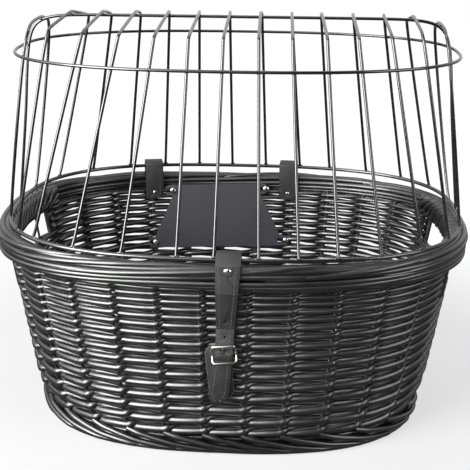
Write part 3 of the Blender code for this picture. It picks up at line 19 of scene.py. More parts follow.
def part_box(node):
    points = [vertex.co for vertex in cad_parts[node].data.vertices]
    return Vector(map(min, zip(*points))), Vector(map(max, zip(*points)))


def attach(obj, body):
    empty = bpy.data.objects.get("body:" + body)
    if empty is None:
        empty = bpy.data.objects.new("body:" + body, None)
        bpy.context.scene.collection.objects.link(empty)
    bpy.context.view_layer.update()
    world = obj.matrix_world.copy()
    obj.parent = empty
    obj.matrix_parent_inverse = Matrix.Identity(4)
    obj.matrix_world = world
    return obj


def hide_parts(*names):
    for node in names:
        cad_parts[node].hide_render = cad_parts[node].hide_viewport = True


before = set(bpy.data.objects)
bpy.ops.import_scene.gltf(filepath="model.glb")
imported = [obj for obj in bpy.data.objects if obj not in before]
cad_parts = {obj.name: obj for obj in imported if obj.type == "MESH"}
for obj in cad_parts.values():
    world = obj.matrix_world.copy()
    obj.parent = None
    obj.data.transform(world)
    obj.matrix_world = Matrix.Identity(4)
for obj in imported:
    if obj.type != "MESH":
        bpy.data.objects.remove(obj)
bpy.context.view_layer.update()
LOG = logging.getLogger("dog_basket")

Array = np.ndarray
Numbers = float | Array
Colour = tuple[float, float, float]
Place = tuple[float, float, float]
Pair = tuple[float, float]
Pairs = tuple[Pair, ...]
Shares = tuple[float, ...]
Options = dict[str, object] | None
Sockets = dict[object, object] | None


class Body(Enum):
    """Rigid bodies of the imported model."""

    BASKET = "basket"
    LID = "lid"
    CLOSURE = "closure"
    BUCKLE = "buckle"
    TONGUE = "tongue"


class Slot(Enum):
    """Material slots."""

    WICKER = "wicker"
    WIRE = "wire"
    LEATHER = "leather"
    NICKEL = "nickel"
    PLATE = "plate"


# ---- node graphs ---------------------------------------------------------------------------------

def operator(operation: str, swapped: bool = False) -> Callable[["Signal", object], "Signal"]:
    """Return a method that adds a Math node for an operator.

    Args:
        operation: the node's operation.
        swapped: whether the signal is the second term.
    Returns:
        The method.
    """
    def apply(self: "Signal", other: object) -> "Signal":
        """Return the node's result."""
        return self.math(operation, *((other, self) if swapped else (self, other)))

    return apply


class Signal:
    """A node socket that arithmetic can be written on."""

    def __init__(self, graph: "Graph", socket: bpy.types.NodeSocket) -> None:
        """Wrap a socket of a graph."""
        self.graph = graph
        self.socket = socket

    def math(self, operation: str, *terms: object) -> "Signal":
        """Return the result of a Math node on values or signals."""
        return self.graph.signal("ShaderNodeMath", {"operation": operation}, dict(enumerate(terms)))

    __add__ = operator("ADD")
    __radd__ = operator("ADD", swapped=True)
    __sub__ = operator("SUBTRACT")
    __rsub__ = operator("SUBTRACT", swapped=True)
    __mul__ = operator("MULTIPLY")
    __rmul__ = operator("MULTIPLY", swapped=True)
    __pow__ = operator("POWER")

    def cos(self) -> "Signal":
        """Return the cosine."""
        return self.math("COSINE", self)

    def sin(self) -> "Signal":
        """Return the sine."""
        return self.math("SINE", self)

    def clamp(self) -> "Signal":
        """Return the value held between 0 and 1."""
        return self.math("MAXIMUM", self.math("MINIMUM", self, 1.0), 0.0)


class Graph:
    """Builder of one node tree."""

    def __init__(self, tree: bpy.types.NodeTree) -> None:
        """Start on a tree whose old nodes are dropped."""
        self.tree = tree
        tree.nodes.clear()

    def feed(self, node: bpy.types.Node, sockets: dict[object, object]) -> None:
        """Set or link inputs of a node.

        Args:
            node: the node.
            sockets: input name or index to a value, a signal or an output socket.
        """
        for key, value in sockets.items():
            source = value.socket if isinstance(value, Signal) else value
            if isinstance(source, bpy.types.NodeSocket):
                self.tree.links.new(source, node.inputs[key])
            else:
                node.inputs[key].default_value = source

    def node(self, kind: str, settings: Options = None, sockets: Sockets = None) -> bpy.types.Node:
        """Add a node.

        Args:
            kind: the node's type name.
            settings: option name to value.
            sockets: its inputs, as feed() takes them.
        Returns:
            The new node.
        """
        node = self.tree.nodes.new(kind)
        for name, value in (settings or {}).items():
            setattr(node, name, value)
        self.feed(node, sockets or {})
        return node

    def signal(self, kind: str, settings: Options = None, sockets: Sockets = None, output: object = 0) -> Signal:
        """Return one output, by its name or index, of a new node, made as node() makes it."""
        return Signal(self, self.node(kind, settings, sockets).outputs[output])


# ---- finishes ------------------------------------------------------------------------------------

class Shader(Graph):
    """Node tree of one material, round one Principled BSDF."""

    MIX_COLOURS = (6, 7)
    MIX_RESULT = 2

    def __init__(self, name: str) -> None:
        """Make the material and its shader.

        Args:
            name: the material's name.
        """
        self.material = bpy.data.materials.new(name)
        self.material.use_nodes = True
        super().__init__(self.material.node_tree)
        self.principled = self.node("ShaderNodeBsdfPrincipled")
        self.node("ShaderNodeOutputMaterial", None, {"Surface": self.principled.outputs[0]})

    def set(self, **values: object) -> None:
        """Set or link sockets of the shader, named with _ for a space."""
        self.feed(self.principled, {name.replace("_", " "): value for name, value in values.items()})

    def place(self) -> Signal:
        """Return Object coordinates."""
        return self.signal("ShaderNodeTexCoord", None, None, "Object")

    def attribute(self, name: str, output: str = "Fac") -> Signal:
        """Return a mesh attribute, as a number (Fac) or as a place (Vector)."""
        return self.signal("ShaderNodeAttribute", {"attribute_name": name}, None, output)

    def noise(self, where: Signal, scale: float, detail: float = 3.0, roughness: float = 0.5) -> Signal:
        """Return a noise between 0 and 1 with so many waves per unit, octaves and weight of the fine ones."""
        return self.signal("ShaderNodeTexNoise", None,
                           {"Vector": where, "Scale": scale, "Detail": detail, "Roughness": roughness})

    def blend(self, factor: object, first: Signal | Colour, second: Signal | Colour) -> Signal:
        """Return a mix of two colours, where the factor is the share of the second."""
        colours = {key: colour if isinstance(colour, Signal) else (*colour, 1.0)
                   for key, colour in zip(self.MIX_COLOURS, (first, second))}
        return self.signal("ShaderNodeMix", {"data_type": "RGBA"}, {0: factor, **colours}, self.MIX_RESULT)

    def uneven(self, level: float, *waves: tuple[Signal, float]) -> Signal:
        """Let noises move a value up and down.

        Args:
            level: the value.
            waves: noises and how far each moves it.
        Returns:
            The value, held between 0 and 1.
        """
        value = level
        for wave, share in waves:
            value = value + share * (wave - 0.5)
        return value.clamp()

    def bump(self, height: Signal, distance: float) -> Signal:
        """Return a normal bumped by a height field of 0 to 1, so many metres deep."""
        return self.signal("ShaderNodeBump", None,
                           {"Height": height, "Distance": distance, "Strength": 1.0}, "Normal")


@dataclass(frozen=True)
class Finish:
    """Look of one material."""

    def dress(self, shader: Shader) -> None:
        """Set the shader of the material."""
        raise NotImplementedError

    def build(self, name: str) -> bpy.types.Material:
        """Make the material.

        Args:
            name: its name.
        Returns:
            The material.
        """
        shader = Shader(name)
        self.dress(shader)
        return shader.material


@dataclass(frozen=True)
class WillowFinish(Finish):
    """Black lacquered willow: long fibres, uneven dye, gloss where the lacquer is thick, and a paler colour on the
    upward sides of the proud strokes that is partly wear and partly painted highlight.
    """

    dark: Colour = (0.0016, 0.0015, 0.0017)
    pale: Colour = (0.0055, 0.0051, 0.0054)
    # Paler colour for the crowns of the strokes: partly wear, partly painted highlight.
    rubbed_and_highlight: Colour = (0.020, 0.0185, 0.0185)
    roughness: float = 0.34
    coat_roughness: float = 0.30
    fibre_depth: float = 0.00016
    patch_scale: float = 60.0
    patch_level: float = 0.4
    # Shares of the mask for the painted highlight mixed with wear.
    wear_and_highlight_least: float = 0.25
    wear_and_highlight_streaks: float = 0.9
    wear_and_highlight_tint: float = 0.45

    def dress(self, shader: Shader) -> None:
        """Set the shader from the rods' own attributes.

        Args:
            shader: the material's shader.
        """
        fibre = shader.attribute("fibre", "Vector")
        tint = shader.attribute("tint")
        crown = shader.attribute("crown")
        streak = shader.noise(fibre, 1.0, 3.0, 0.6)
        patch = shader.noise(shader.place(), self.patch_scale, 3.0)
        shade = (0.5 * tint + 0.6 * (streak - 0.5) + 0.5 * (patch - self.patch_level)).clamp()
        base = shader.blend(shade, self.dark, self.pale)
        # Painted highlight mixed with wear: a paler colour on the crown mask, the upward-facing sides of the proud
        # strokes, as if lit from above.
        wear_and_highlight = (crown * (self.wear_and_highlight_least + self.wear_and_highlight_streaks * streak) * (self.wear_and_highlight_tint + tint)).clamp()
        shader.set(Base_Color=shader.blend(wear_and_highlight, base, self.rubbed_and_highlight),
                   Roughness=shader.uneven(self.roughness, (patch, 0.22), (streak, 0.16)),
                   Specular_IOR_Level=1.0, Coat_Weight=0.7, Coat_Roughness=self.coat_roughness,
                   Normal=shader.bump(streak, self.fibre_depth))


@dataclass(frozen=True)
class CloudedFinish(Finish):
    """Finish over a fine relief, whose colour clouds from one shade into another.

    The cloud and the relief are noises, each of a scale and a detail, and may move the roughness.
    """

    colour: Colour
    clouded: Colour
    roughness: float
    cloud: Pair
    relief: Pair
    relief_depth: float
    cloud_share: float = 0.0
    relief_share: float = 0.0
    metallic: float = 0.0
    specular: float = 0.5
    coat: float = 0.0
    coat_roughness: float = 0.03

    def dress(self, shader: Shader) -> None:
        """Set the shader.

        Args:
            shader: the material's shader.
        """
        cloud, relief = (shader.noise(shader.place(), *noise) for noise in (self.cloud, self.relief))
        waves = ((cloud, self.cloud_share), (relief, self.relief_share))
        shader.set(Base_Color=shader.blend(cloud, self.colour, self.clouded), Metallic=self.metallic,
                   Roughness=shader.uneven(self.roughness, *waves), Specular_IOR_Level=self.specular,
                   Coat_Weight=self.coat, Coat_Roughness=self.coat_roughness,
                   Normal=shader.bump(relief, self.relief_depth))


GLOSS_LACQUER = CloudedFinish((0.004, 0.004, 0.0045), (0.0088, 0.0088, 0.0099), 0.20, (70.0, 3.0), (900.0, 2.0),
                              0.00004, cloud_share=0.12, specular=1.0, coat=0.8, coat_roughness=0.12)
BRIGHT_NICKEL = CloudedFinish((0.78, 0.77, 0.74), (0.5616, 0.5544, 0.5328), 0.18, (140.0, 3.0), (500.0, 3.0),
                              0.00003, relief_share=0.16, metallic=1.0)
GRAINED_PLASTIC = CloudedFinish((0.055, 0.053, 0.063), (0.066, 0.063, 0.074), 0.48, (30.0, 4.0), (2400.0, 2.0),
                                0.00008, cloud_share=0.14)
WAXED_THREAD = CloudedFinish((0.06, 0.058, 0.058), (0.12, 0.116, 0.116), 0.6, (3000.0, 2.0), (3000.0, 2.0), 0.00005)


@dataclass(frozen=True)
class LeatherFinish(Finish):
    """Black strap leather: pebbled grain, clouded tone, and paler along its rounded edges."""

    colour: Colour = (0.010, 0.0097, 0.0105)
    pale: Colour = (0.030, 0.029, 0.031)
    edge: Colour = (0.10, 0.095, 0.095)
    roughness: float = 0.46
    pebble_scale: float = 1500.0
    pebble_width: float = 2.2
    fine_scale: float = 2600.0
    cloud_scale: float = 90.0
    grain_depth: float = 0.00018

    def dress(self, shader: Shader) -> None:
        """Set the shader.

        Args:
            shader: the material's shader.
        """
        place = shader.place()
        cells = shader.signal("ShaderNodeTexVoronoi", {"feature": "DISTANCE_TO_EDGE"},
                              {"Vector": place, "Scale": self.pebble_scale}, "Distance")
        fine = shader.noise(place, self.fine_scale, 2.0)
        cloud = shader.noise(place, self.cloud_scale, 4.0)
        rim = shader.attribute("edge")
        skin = shader.blend(cloud, self.colour, self.pale)
        shader.set(Base_Color=shader.blend((rim * (0.4 + cloud)).clamp(), skin, self.edge),
                   Roughness=shader.uneven(self.roughness, (cloud, 0.25)),
                   Normal=shader.bump((cells * self.pebble_width).clamp() + 0.4 * fine, self.grain_depth))


@dataclass(frozen=True)
class BackdropFinish:
    """Pale surface that shows white to the camera and dim grey to gloss, and keeps a soft shadow."""

    colour: Colour = (0.80, 0.80, 0.80)
    glow: float = 1.06
    shadow_share: float = 0.40
    shadow_reach: float = 0.62
    gloss_share: float = 0.12

    def build(self, name: str) -> bpy.types.Material:
        """Make the material.

        Args:
            name: its name.
        Returns:
            The material.
        """
        material = bpy.data.materials.new(name)
        material.use_nodes = True
        graph = Graph(material.node_tree)
        paint = graph.signal("ShaderNodeBsdfDiffuse", None, {"Color": (*self.colour, 1.0)})
        dim = graph.signal("ShaderNodeBsdfDiffuse", None, {"Color": (0.0, 0.0, 0.0, 1.0)})
        light = graph.signal("ShaderNodeEmission", None,
                             {"Color": (1.0, 1.0, 1.0, 1.0), "Strength": self.glow})
        path = graph.node("ShaderNodeLightPath")
        place = graph.signal("ShaderNodeTexCoord", None, None, "Object")
        far = graph.signal("ShaderNodeVectorMath", {"operation": "LENGTH"}, {0: place}, "Value")
        near = (1.0 - (far - 0.5 * self.shadow_reach) * (2.0 / self.shadow_reach)).clamp()
        camera = Signal(graph, path.outputs["Is Camera Ray"])
        glossy = Signal(graph, path.outputs["Is Glossy Ray"])
        lit = camera * (1.0 - self.shadow_share * near) + self.gloss_share * glossy
        dimmed = graph.signal("ShaderNodeMixShader", None, {0: glossy, 1: paint, 2: dim})
        mixed = graph.signal("ShaderNodeMixShader", None, {0: lit, 1: dimmed, 2: light})
        graph.node("ShaderNodeOutputMaterial", None, {"Surface": mixed})
        return material


# ---- geometry trees ------------------------------------------------------------------------------

def linked(name: str, data: bpy.types.ID) -> bpy.types.Object:
    """Make an object in the scene.

    Args:
        name: its name.
        data: its mesh, lamp or camera data.
    Returns:
        The object.
    """
    item = bpy.data.objects.new(name, data)
    bpy.context.scene.collection.objects.link(item)
    return item


def baked(item: bpy.types.Object, modifier: bpy.types.Modifier) -> bpy.types.Object:
    """Keep what a modifier makes of an object as its plain mesh.

    Args:
        item: the object.
        modifier: its modifier, which is removed.
    Returns:
        The same object.
    """
    item.update_tag()
    bpy.context.view_layer.update()
    graph = bpy.context.evaluated_depsgraph_get()
    mesh = bpy.data.meshes.new_from_object(item.evaluated_get(graph), preserve_all_data_layers=True,
                                           depsgraph=graph)
    item.modifiers.remove(modifier)
    item.data = mesh
    return item


class GeometryTree(Graph):
    """Geometry Nodes group whose named inputs are set through a modifier."""

    def __init__(self, name: str, inputs: dict[str, str]) -> None:
        """Make the group.

        Args:
            name: the group's name.
            inputs: input name to socket type, besides the geometry.
        """
        tree = bpy.data.node_groups.new(name, "GeometryNodeTree")
        super().__init__(tree)
        socket = tree.interface.new_socket
        socket("Geometry", in_out="INPUT", socket_type="NodeSocketGeometry")
        self.identifiers = {title: socket(title, in_out="INPUT", socket_type=f"NodeSocket{kind}").identifier
                            for title, kind in inputs.items()}
        socket("Geometry", in_out="OUTPUT", socket_type="NodeSocketGeometry")
        self.entry = self.node("NodeGroupInput")

    def entering(self, title: str) -> Signal:
        """Return one of the group's inputs."""
        return Signal(self, self.entry.outputs[title])

    def read(self, name: str, kind: str = "FLOAT") -> Signal:
        """Return a named attribute of a data type."""
        return self.signal("GeometryNodeInputNamedAttribute", {"data_type": kind}, {"Name": name}, "Attribute")

    def store(self, geometry: Signal, name: str, value: object, kind: str = "FLOAT") -> Signal:
        """Return the geometry with a field stored as a point attribute of a data type."""
        return self.signal("GeometryNodeStoreNamedAttribute", {"data_type": kind, "domain": "POINT"},
                           {"Geometry": geometry, "Name": name, "Value": value})

    def vector(self, x: object, y: object, z: object) -> Signal:
        """Return a vector of three numbers."""
        return self.signal("ShaderNodeCombineXYZ", None, {0: x, 1: y, 2: z})

    def scaled(self, vector: Signal, factor: object) -> Signal:
        """Return a vector times a number."""
        return self.signal("ShaderNodeVectorMath", {"operation": "SCALE"}, {0: vector, "Scale": factor})

    def plus(self, first: Signal, second: object) -> Signal:
        """Return the sum of two vectors."""
        return self.signal("ShaderNodeVectorMath", {"operation": "ADD"}, {0: first, 1: second})

    def finish(self, geometry: Signal) -> None:
        """End the tree with Realize Instances and Set Material.

        Args:
            geometry: what the tree made.
        """
        real = self.signal("GeometryNodeRealizeInstances", None, {"Geometry": geometry})
        smooth = self.signal("GeometryNodeSetShadeSmooth", None, {"Geometry": real})
        dressed = self.signal("GeometryNodeSetMaterial", None,
                              {"Geometry": smooth, "Material": self.entering("Material")})
        self.node("NodeGroupOutput", None, {0: dressed})

    def apply(self, item: bpy.types.Object, values: dict[str, object]) -> bpy.types.Object:
        """Run the tree on an object and keep the result as its plain mesh.

        Args:
            item: an object whose mesh is the tree's input.
            values: input name to value.
        Returns:
            The same object.
        """
        modifier = item.modifiers.new(self.tree.name, "NODES")
        modifier.node_group = self.tree
        for title, value in values.items():
            modifier[self.identifiers[title]] = value
        return baked(item, modifier)


class RodTree(GeometryTree):
    """Rods along paths: weaving swing, wander, uneven girth, round section and attributes for the shader, one of
    them a mask for painted highlight mixed with wear.
    """

    ROW_SHIFT = 0.37
    GIRTH_SCALE = 0.7
    FIBRE_ROUND = 2.2
    FIBRE_ALONG = 28.0
    FIBRE_SHIFT = 3.7
    # How far the painted highlight reaches from the upward-facing sides.
    HIGHLIGHT_TILT = 0.25

    def __init__(self) -> None:
        """Build the tree."""
        super().__init__("rods_along_paths", {
            "Material": "Material", "Sides": "Int", "Swing": "Float", "Skew": "Float", "Wander": "Float",
            "Wander scale": "Float", "Girth variation": "Float", "Seed": "Float"})
        curve = self.signal("GeometryNodeMeshToCurve", None, {"Mesh": self.entering("Geometry")})
        phase = self.read("phase") * math.pi
        wave = phase.cos() + self.entering("Skew") * (phase * 2.0).sin()
        outward = self.read("outward", "FLOAT_VECTOR")
        reach = self.entering("Swing") * self.read("swing") * wave + self.read("sink")
        place = self.signal("GeometryNodeInputPosition")
        row = self.read("row")
        where = self.plus(place, self.vector(0.0, self.entering("Seed"), row * self.ROW_SHIFT))
        scale = self.entering("Wander scale")
        drift = self.signal("ShaderNodeTexNoise", None, {"Vector": where, "Scale": scale, "Detail": 2.0}, "Color")
        centred = self.plus(drift, (-0.5, -0.5, -0.5))
        rise = self.vector(0.0, 0.0, self.read("lift") * phase.sin())
        woven = self.plus(self.scaled(outward, reach), rise)
        offset = self.plus(woven, self.scaled(centred, self.entering("Wander")))
        moved = self.signal("GeometryNodeSetPosition", None, {"Geometry": curve, "Offset": offset})
        thick = self.signal("ShaderNodeTexNoise", None,
                            {"Vector": where, "Scale": scale * self.GIRTH_SCALE, "Detail": 1.0})
        girth = self.read("girth") * (1.0 + self.entering("Girth variation") * (thick - 0.5))
        length = self.signal("GeometryNodeSplineParameter", None, None, "Length")
        kept = self.store(moved, "run", length)
        kept = self.store(kept, "front", (wave * self.read("swing")).clamp())
        ring = self.signal("GeometryNodeCurvePrimitiveCircle", None,
                           {"Resolution": self.entering("Sides"), "Radius": 1.0})
        ring = self.store(ring, "around", self.signal("GeometryNodeSplineParameter", None, None, "Factor"))
        swept = self.signal("GeometryNodeCurveToMesh", None,
                            {"Curve": kept, "Profile Curve": ring, "Scale": girth, "Fill Caps": True})
        turn = self.read("around") * math.tau
        fibre = self.vector(turn.cos() * self.FIBRE_ROUND, turn.sin() * self.FIBRE_ROUND,
                            self.read("run") * self.FIBRE_ALONG + row * self.FIBRE_SHIFT)
        named = self.store(swept, "fibre", fibre, "FLOAT_VECTOR")
        normal = self.signal("GeometryNodeInputNormal")
        upward = self.signal("ShaderNodeSeparateXYZ", None, {0: normal}, 2)
        # crown: mask of a painted highlight mixed with wear, high on the proud front of each stroke and most on its
        # upward-facing side.
        named = self.store(named, "crown", (self.read("front") * (upward + self.HIGHLIGHT_TILT)).clamp())
        self.finish(named)


class BeadTree(GeometryTree):
    """One small bead on each point: weld toes and stitches, turned by an attribute, stretched and varied."""

    def __init__(self) -> None:
        """Build the tree."""
        super().__init__("beads_on_points", {"Material": "Material", "Radius": "Float", "Long": "Float",
                                             "Size variation": "Float", "Seed": "Int"})
        bead = self.signal("GeometryNodeMeshIcoSphere", None,
                           {"Radius": self.entering("Radius"), "Subdivisions": 2})
        turned = self.signal("FunctionNodeAlignRotationToVector", {"axis": "X"},
                             {"Vector": self.read("along", "FLOAT_VECTOR")})
        vary = self.signal("FunctionNodeRandomValue", {"data_type": "FLOAT"},
                           {2: -1.0, 3: 1.0, "Seed": self.entering("Seed")}, 1)
        even = 1.0 + self.entering("Size variation") * vary
        points = self.signal("GeometryNodeMeshToPoints", None, {"Mesh": self.entering("Geometry")})
        placed = self.signal("GeometryNodeInstanceOnPoints", None,
                             {"Points": points, "Instance": bead, "Rotation": turned,
                              "Scale": self.vector(self.entering("Long") * even, even, even)})
        self.finish(placed)


# ---- paths ---------------------------------------------------------------------------------------

@dataclass
class Rod:
    """One rod's middle line, with what the tree reads on it; it weaves where swing isn't 0."""

    points: Array
    girth: Numbers
    outward: Array | None = None
    phase: Numbers = 0.0
    swing: float = 0.0
    sink: Numbers = 0.0
    lift: float = 0.0
    tint: float = 0.5
    closed: bool = False


def rod_object(name: str, rods: Sequence[Rod]) -> bpy.types.Object:
    """Put rods' middle lines into one mesh of edges with their attributes.

    Args:
        name: the object's name.
        rods: the rods.
    Returns:
        The object, ready for the rod tree.
    """
    edges: list[tuple[int, int]] = []
    columns: dict[str, list[Array]] = {
        key: [] for key in ("phase", "girth", "swing", "sink", "lift", "row", "tint")}
    first = 0
    for number, rod in enumerate(rods):
        count = len(rod.points)
        edges += [(first + step, first + step + 1) for step in range(count - 1)]
        if rod.closed:
            edges.append((first + count - 1, first))
        first += count
        values = {**vars(rod), "row": float(number)}
        for key, parts in columns.items():
            parts.append(np.broadcast_to(np.asarray(values[key], dtype=float), (count,)))
    mesh = bpy.data.meshes.new(name)
    mesh.from_pydata(np.concatenate([rod.points for rod in rods]).tolist(), edges, [])
    for key, parts in columns.items():
        layer = mesh.attributes.new(key, "FLOAT", "POINT")
        layer.data.foreach_set("value", np.concatenate(parts).astype(np.float32))
    outward = [np.zeros_like(rod.points) if rod.outward is None else rod.outward for rod in rods]
    layer = mesh.attributes.new("outward", "FLOAT_VECTOR", "POINT")
    layer.data.foreach_set("vector", np.concatenate(outward).astype(np.float32).ravel())
    return linked(name, mesh)


def bead_object(name: str, points: Array, along: Array) -> bpy.types.Object:
    """Put points with a direction each into a mesh for the bead tree.

    Args:
        name: the object's name.
        points: places.
        along: direction of each bead's long way.
    Returns:
        The object.
    """
    mesh = bpy.data.meshes.new(name)
    mesh.from_pydata(points.tolist(), [], [])
    layer = mesh.attributes.new("along", "FLOAT_VECTOR", "POINT")
    layer.data.foreach_set("vector", along.astype(np.float32).ravel())
    return linked(name, mesh)


def show(piece: bpy.types.Object, body: Body, slot: Slot, *nodes: str) -> None:
    """Tell the frame what a finished piece rides on and what it stands for.

    Args:
        piece: the piece.
        body: the body that it moves with.
        slot: its material slot; not used.
        nodes: CAD nodes that it replaces.
    """
    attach(piece, body.value)
    if nodes:
        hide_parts(*nodes)
    LOG.info("%s: %d faces, rides on %s", piece.name, len(piece.data.polygons), body.value)


def drawn(rng: np.random.Generator, spread: Pair) -> float:
    """Return a random number from a least value on, over a room."""
    return spread[0] + spread[1] * rng.random()


def travelled(points: Array) -> Array:
    """Return how far along a line of points each of them is."""
    steps = np.linalg.norm(np.diff(points, axis=0), axis=1)
    return np.concatenate([[0.0], np.cumsum(steps)])


@dataclass(frozen=True)
class Oval:
    """Rounded oval outline in plan."""

    half_length: float
    half_depth: float
    power: float
    shift: float = 0.0

    def directions(self, shares: Array) -> Array:
        """Find directions along the outline.

        Args:
            shares: shares of the way round, measured along it.
        Returns:
            The directions, as angles.
        """
        fine = np.linspace(0.0, math.tau, 4001)
        length = travelled(self.at(fine)[:, :2])
        return np.interp(shares * length[-1], length, fine)

    def angles(self, count: int) -> Array:
        """Return the directions that divide the outline into equal lengths."""
        return self.directions(np.linspace(0.0, 1.0, count, endpoint=False))

    def at(self, angles: Array) -> Array:
        """Find points of the outline.

        Args:
            angles: their directions.
        Returns:
            The points, at height 0.
        """
        along = np.abs(np.cos(angles) / self.half_length) ** self.power
        across = np.abs(np.sin(angles) / self.half_depth) ** self.power
        radius = (along + across) ** (-1.0 / self.power)
        return np.stack([radius * np.cos(angles) + self.shift, radius * np.sin(angles), 0.0 * angles], axis=1)

    def ring(self, count: int) -> Array:
        """Return points that divide the outline into equal lengths."""
        return self.at(self.angles(count))

    def reach(self, y: Numbers) -> Numbers:
        """Return how far out along x the outline is beside a y."""
        return self.half_length * (1.0 - (np.abs(y) / self.half_depth) ** self.power) ** (1.0 / self.power)

    def outward(self, points: Array) -> Array:
        """Find the way out of the outline.

        Args:
            points: points of the outline.
        Returns:
            The outward direction at each.
        """
        x = points[:, 0] - self.shift
        y = points[:, 1]
        slope_x = np.abs(x / self.half_length) ** (self.power - 1.0) / self.half_length * np.sign(x)
        slope_y = np.abs(y / self.half_depth) ** (self.power - 1.0) / self.half_depth * np.sign(y)
        direction = np.stack([slope_x, slope_y, 0.0 * x], axis=1)
        return direction / np.linalg.norm(direction, axis=1, keepdims=True)


# ---- woven basket --------------------------------------------------------------------------------

@dataclass
class WovenBasket:
    """Willow basket: thirty stakes, a paired weave, a rolled rim, a turned-down foot and a floor."""

    willow: WillowFinish = WillowFinish()
    top_length: float = 0.2255
    top_depth: float = 0.1620
    top_power: float = 2.62
    foot_length: float = 0.1980
    foot_depth: float = 0.1500
    foot_power: float = 2.58
    wall_height: float = 0.18195
    foot_tuck: float = 0.016
    tuck_height: float = 0.050

    rod_tint: Pair = (0.3, 0.6)
    stake_count: int = 30
    stake_radius: float = 0.0019
    stake_inset: float = 0.0022
    stake_step: float = 0.008
    stake_heights: Pair = (0.010, 0.178)
    stub_height: float = 0.150
    bar_bottom: float = 0.146
    bar_radius: float = 0.0013
    post_inset: float = 0.0024
    post_bottom: float = 0.138
    post_rods: Pairs = ((0.0, 0.0024), (0.0052, 0.0019))

    spacing_shares: Shares = (0.0, 0.05, 0.10, 0.15, 0.20, 0.27, 0.36, 0.47, 0.60, 0.74, 0.88)
    warp_shares: Shares = (0.0, 0.08, 0.15, 0.30, 0.60, 0.80, 1.0)
    warp_phases: Shares = (0.0, 0.22, 0.50, 0.68, 0.85, 0.94, 1.0)
    weave_seed: int = 11
    weave_inset: float = 0.0008
    weave_skew: float = 0.22
    wander_scale: float = 26.0
    girth_variation: float = 0.25
    swing: float = 0.0030
    first_row: int = -2
    last_row: int = 13
    row_start: float = 0.0504
    row_pitch: float = 0.0130
    row_closing: float = 0.00027
    twist_share: float = 0.17
    girth_least: float = 0.0010
    girth_share: float = 0.238
    girth_sway: float = 0.08
    back_growth: float = 0.10
    back_start: float = 0.3
    hole_reach: float = 0.066
    hole_bottom: float = 0.147
    post_beside: float = 0.002
    press_place: float = 0.002
    press_half: float = 0.019
    press_heights: Pair = (0.052, 0.136)
    press_fades: Pair = (0.010, 0.012)
    press_depth: float = 0.0022

    rim_seed: int = 5
    rim_crown: float = 0.19625
    rim_fall: float = 0.00275
    rim_end_fall: float = 0.0010
    rim_section: Pairs = (
        (1.2, 20.3), (4.4, 19.2), (4.7, 16.0), (4.7, 9.5), (4.6, 5.6), (3.0, 3.0), (0.3, 2.4),
        (-2.7, 3.3), (-4.3, 6.4), (-4.4, 10.2), (-2.8, 13.2), (-0.9, 16.6), (1.2, 20.3))
    section_steps: int = 240
    rim_stations: int = 300
    rim_rods: int = 9
    rim_rod_radius: float = 0.0029
    rim_shift: int = 7
    rim_sway: float = 0.30
    sway_waves: tuple[int, ...] = (2, 3, 5, 9)
    proud_reach: float = 0.003
    proud_middle: float = 0.011
    proud_room: float = 0.008
    sunk: float = 0.0012
    rim_riders: int = 13
    rider_proud: float = 0.0027
    rider_jitter: Pair = (0.0, 0.4)
    rider_span: Pair = (0.16, 0.10)
    rider_turn: Pair = (0.16, 0.10)
    rider_wind: Pair = (0.30, 0.16)
    rim_tint: Pair = (0.35, 0.6)
    rider_tip: float = 0.72
    bed_proud: float = 0.0041
    bed_turn: float = 0.05
    bed_rods: tuple[tuple[float, int], ...] = ((0.47, 84), (0.53, 80), (0.60, 74))

    grip_seed: int = 23
    grip_steps: int = 60
    grip_strands: int = 8
    grip_turns: float = 1.9
    grip_reach: float = 0.086
    grip_strand_radius: float = 0.0034
    grip_girth: Pair = (0.85, 0.3)
    grip_squareness: float = 0.7
    grip_inset: float = 0.0050
    grip_drop: float = 0.0094
    grip_half_width: float = 0.0042
    grip_half_height: float = 0.0085
    width_swell: float = 0.0008
    height_swell: float = 0.0012
    under_swell: float = 0.0016

    foot_seed: int = 3
    border_length: float = 0.1903
    border_depth: float = 0.1409
    border_rod_radius: float = 0.0029
    border_steps: int = 12
    border_reach: float = 2.7
    border_heights: Pairs = (
        (0.0, 0.0205), (0.12, 0.0178), (0.5, 0.0092), (0.85, 0.0040), (1.0, 0.0036))
    border_outs: Pairs = (
        (0.0, 0.0030), (0.12, 0.0048), (0.45, 0.0046), (0.8, 0.0030), (1.0, -0.0012))
    core_rods: Pairs = (
        (0.0012, 0.0036), (-0.0040, 0.0040), (-0.0048, 0.0095), (0.0004, 0.0095), (-0.0030, 0.0142))

    floor_height: float = 0.0090
    floor_power: float = 2.5
    floor_rings: int = 19
    floor_half: Pair = (0.1795, 0.1308)
    floor_pitch: float = 0.0066
    floor_steps: int = 8
    floor_swing: float = 0.8
    floor_rod_radius: float = 0.0027
    floor_stake_half: Pair = (0.1822, 0.1335)
    floor_stake_radius: float = 0.0018
    spine_half: float = 0.0555
    spine_rod_half: float = 0.066
    spine_rod_place: float = 0.0036
    spine_rod_radius: float = 0.0030

    def __post_init__(self) -> None:
        """Build the tree and the finish once."""
        self.tree = RodTree()
        self.material = self.willow.build("black_willow")

    def oval(self, height: float, inset: float = 0.0) -> Oval:
        """Return the wall's outline.

        Args:
            height: above the ground.
            inset: how far inside the outer face.
        Returns:
            The outline at that height.
        """
        share = height / self.wall_height
        tuck = self.foot_tuck * max(0.0, 1.0 - height / self.tuck_height) ** 2
        length = self.foot_length + (self.top_length - self.foot_length) * share - tuck
        depth = self.foot_depth + (self.top_depth - self.foot_depth) * share - tuck
        power = self.foot_power + (self.top_power - self.foot_power) * share
        return Oval(length - inset, depth - inset, power)

    def rim_oval(self) -> Oval:
        """Return the outline that the rim is rolled on."""
        return Oval(self.top_length, self.top_depth, self.top_power)

    def rim_top(self, points: Array) -> Array:
        """Return the rim's top.

        Args:
            points: places over which it is wanted.
        Returns:
            Its height at each.
        """
        across = points[:, 1] / self.top_depth
        along = points[:, 0] / self.top_length
        return self.rim_crown - self.rim_fall * across - self.rim_end_fall * along ** 4

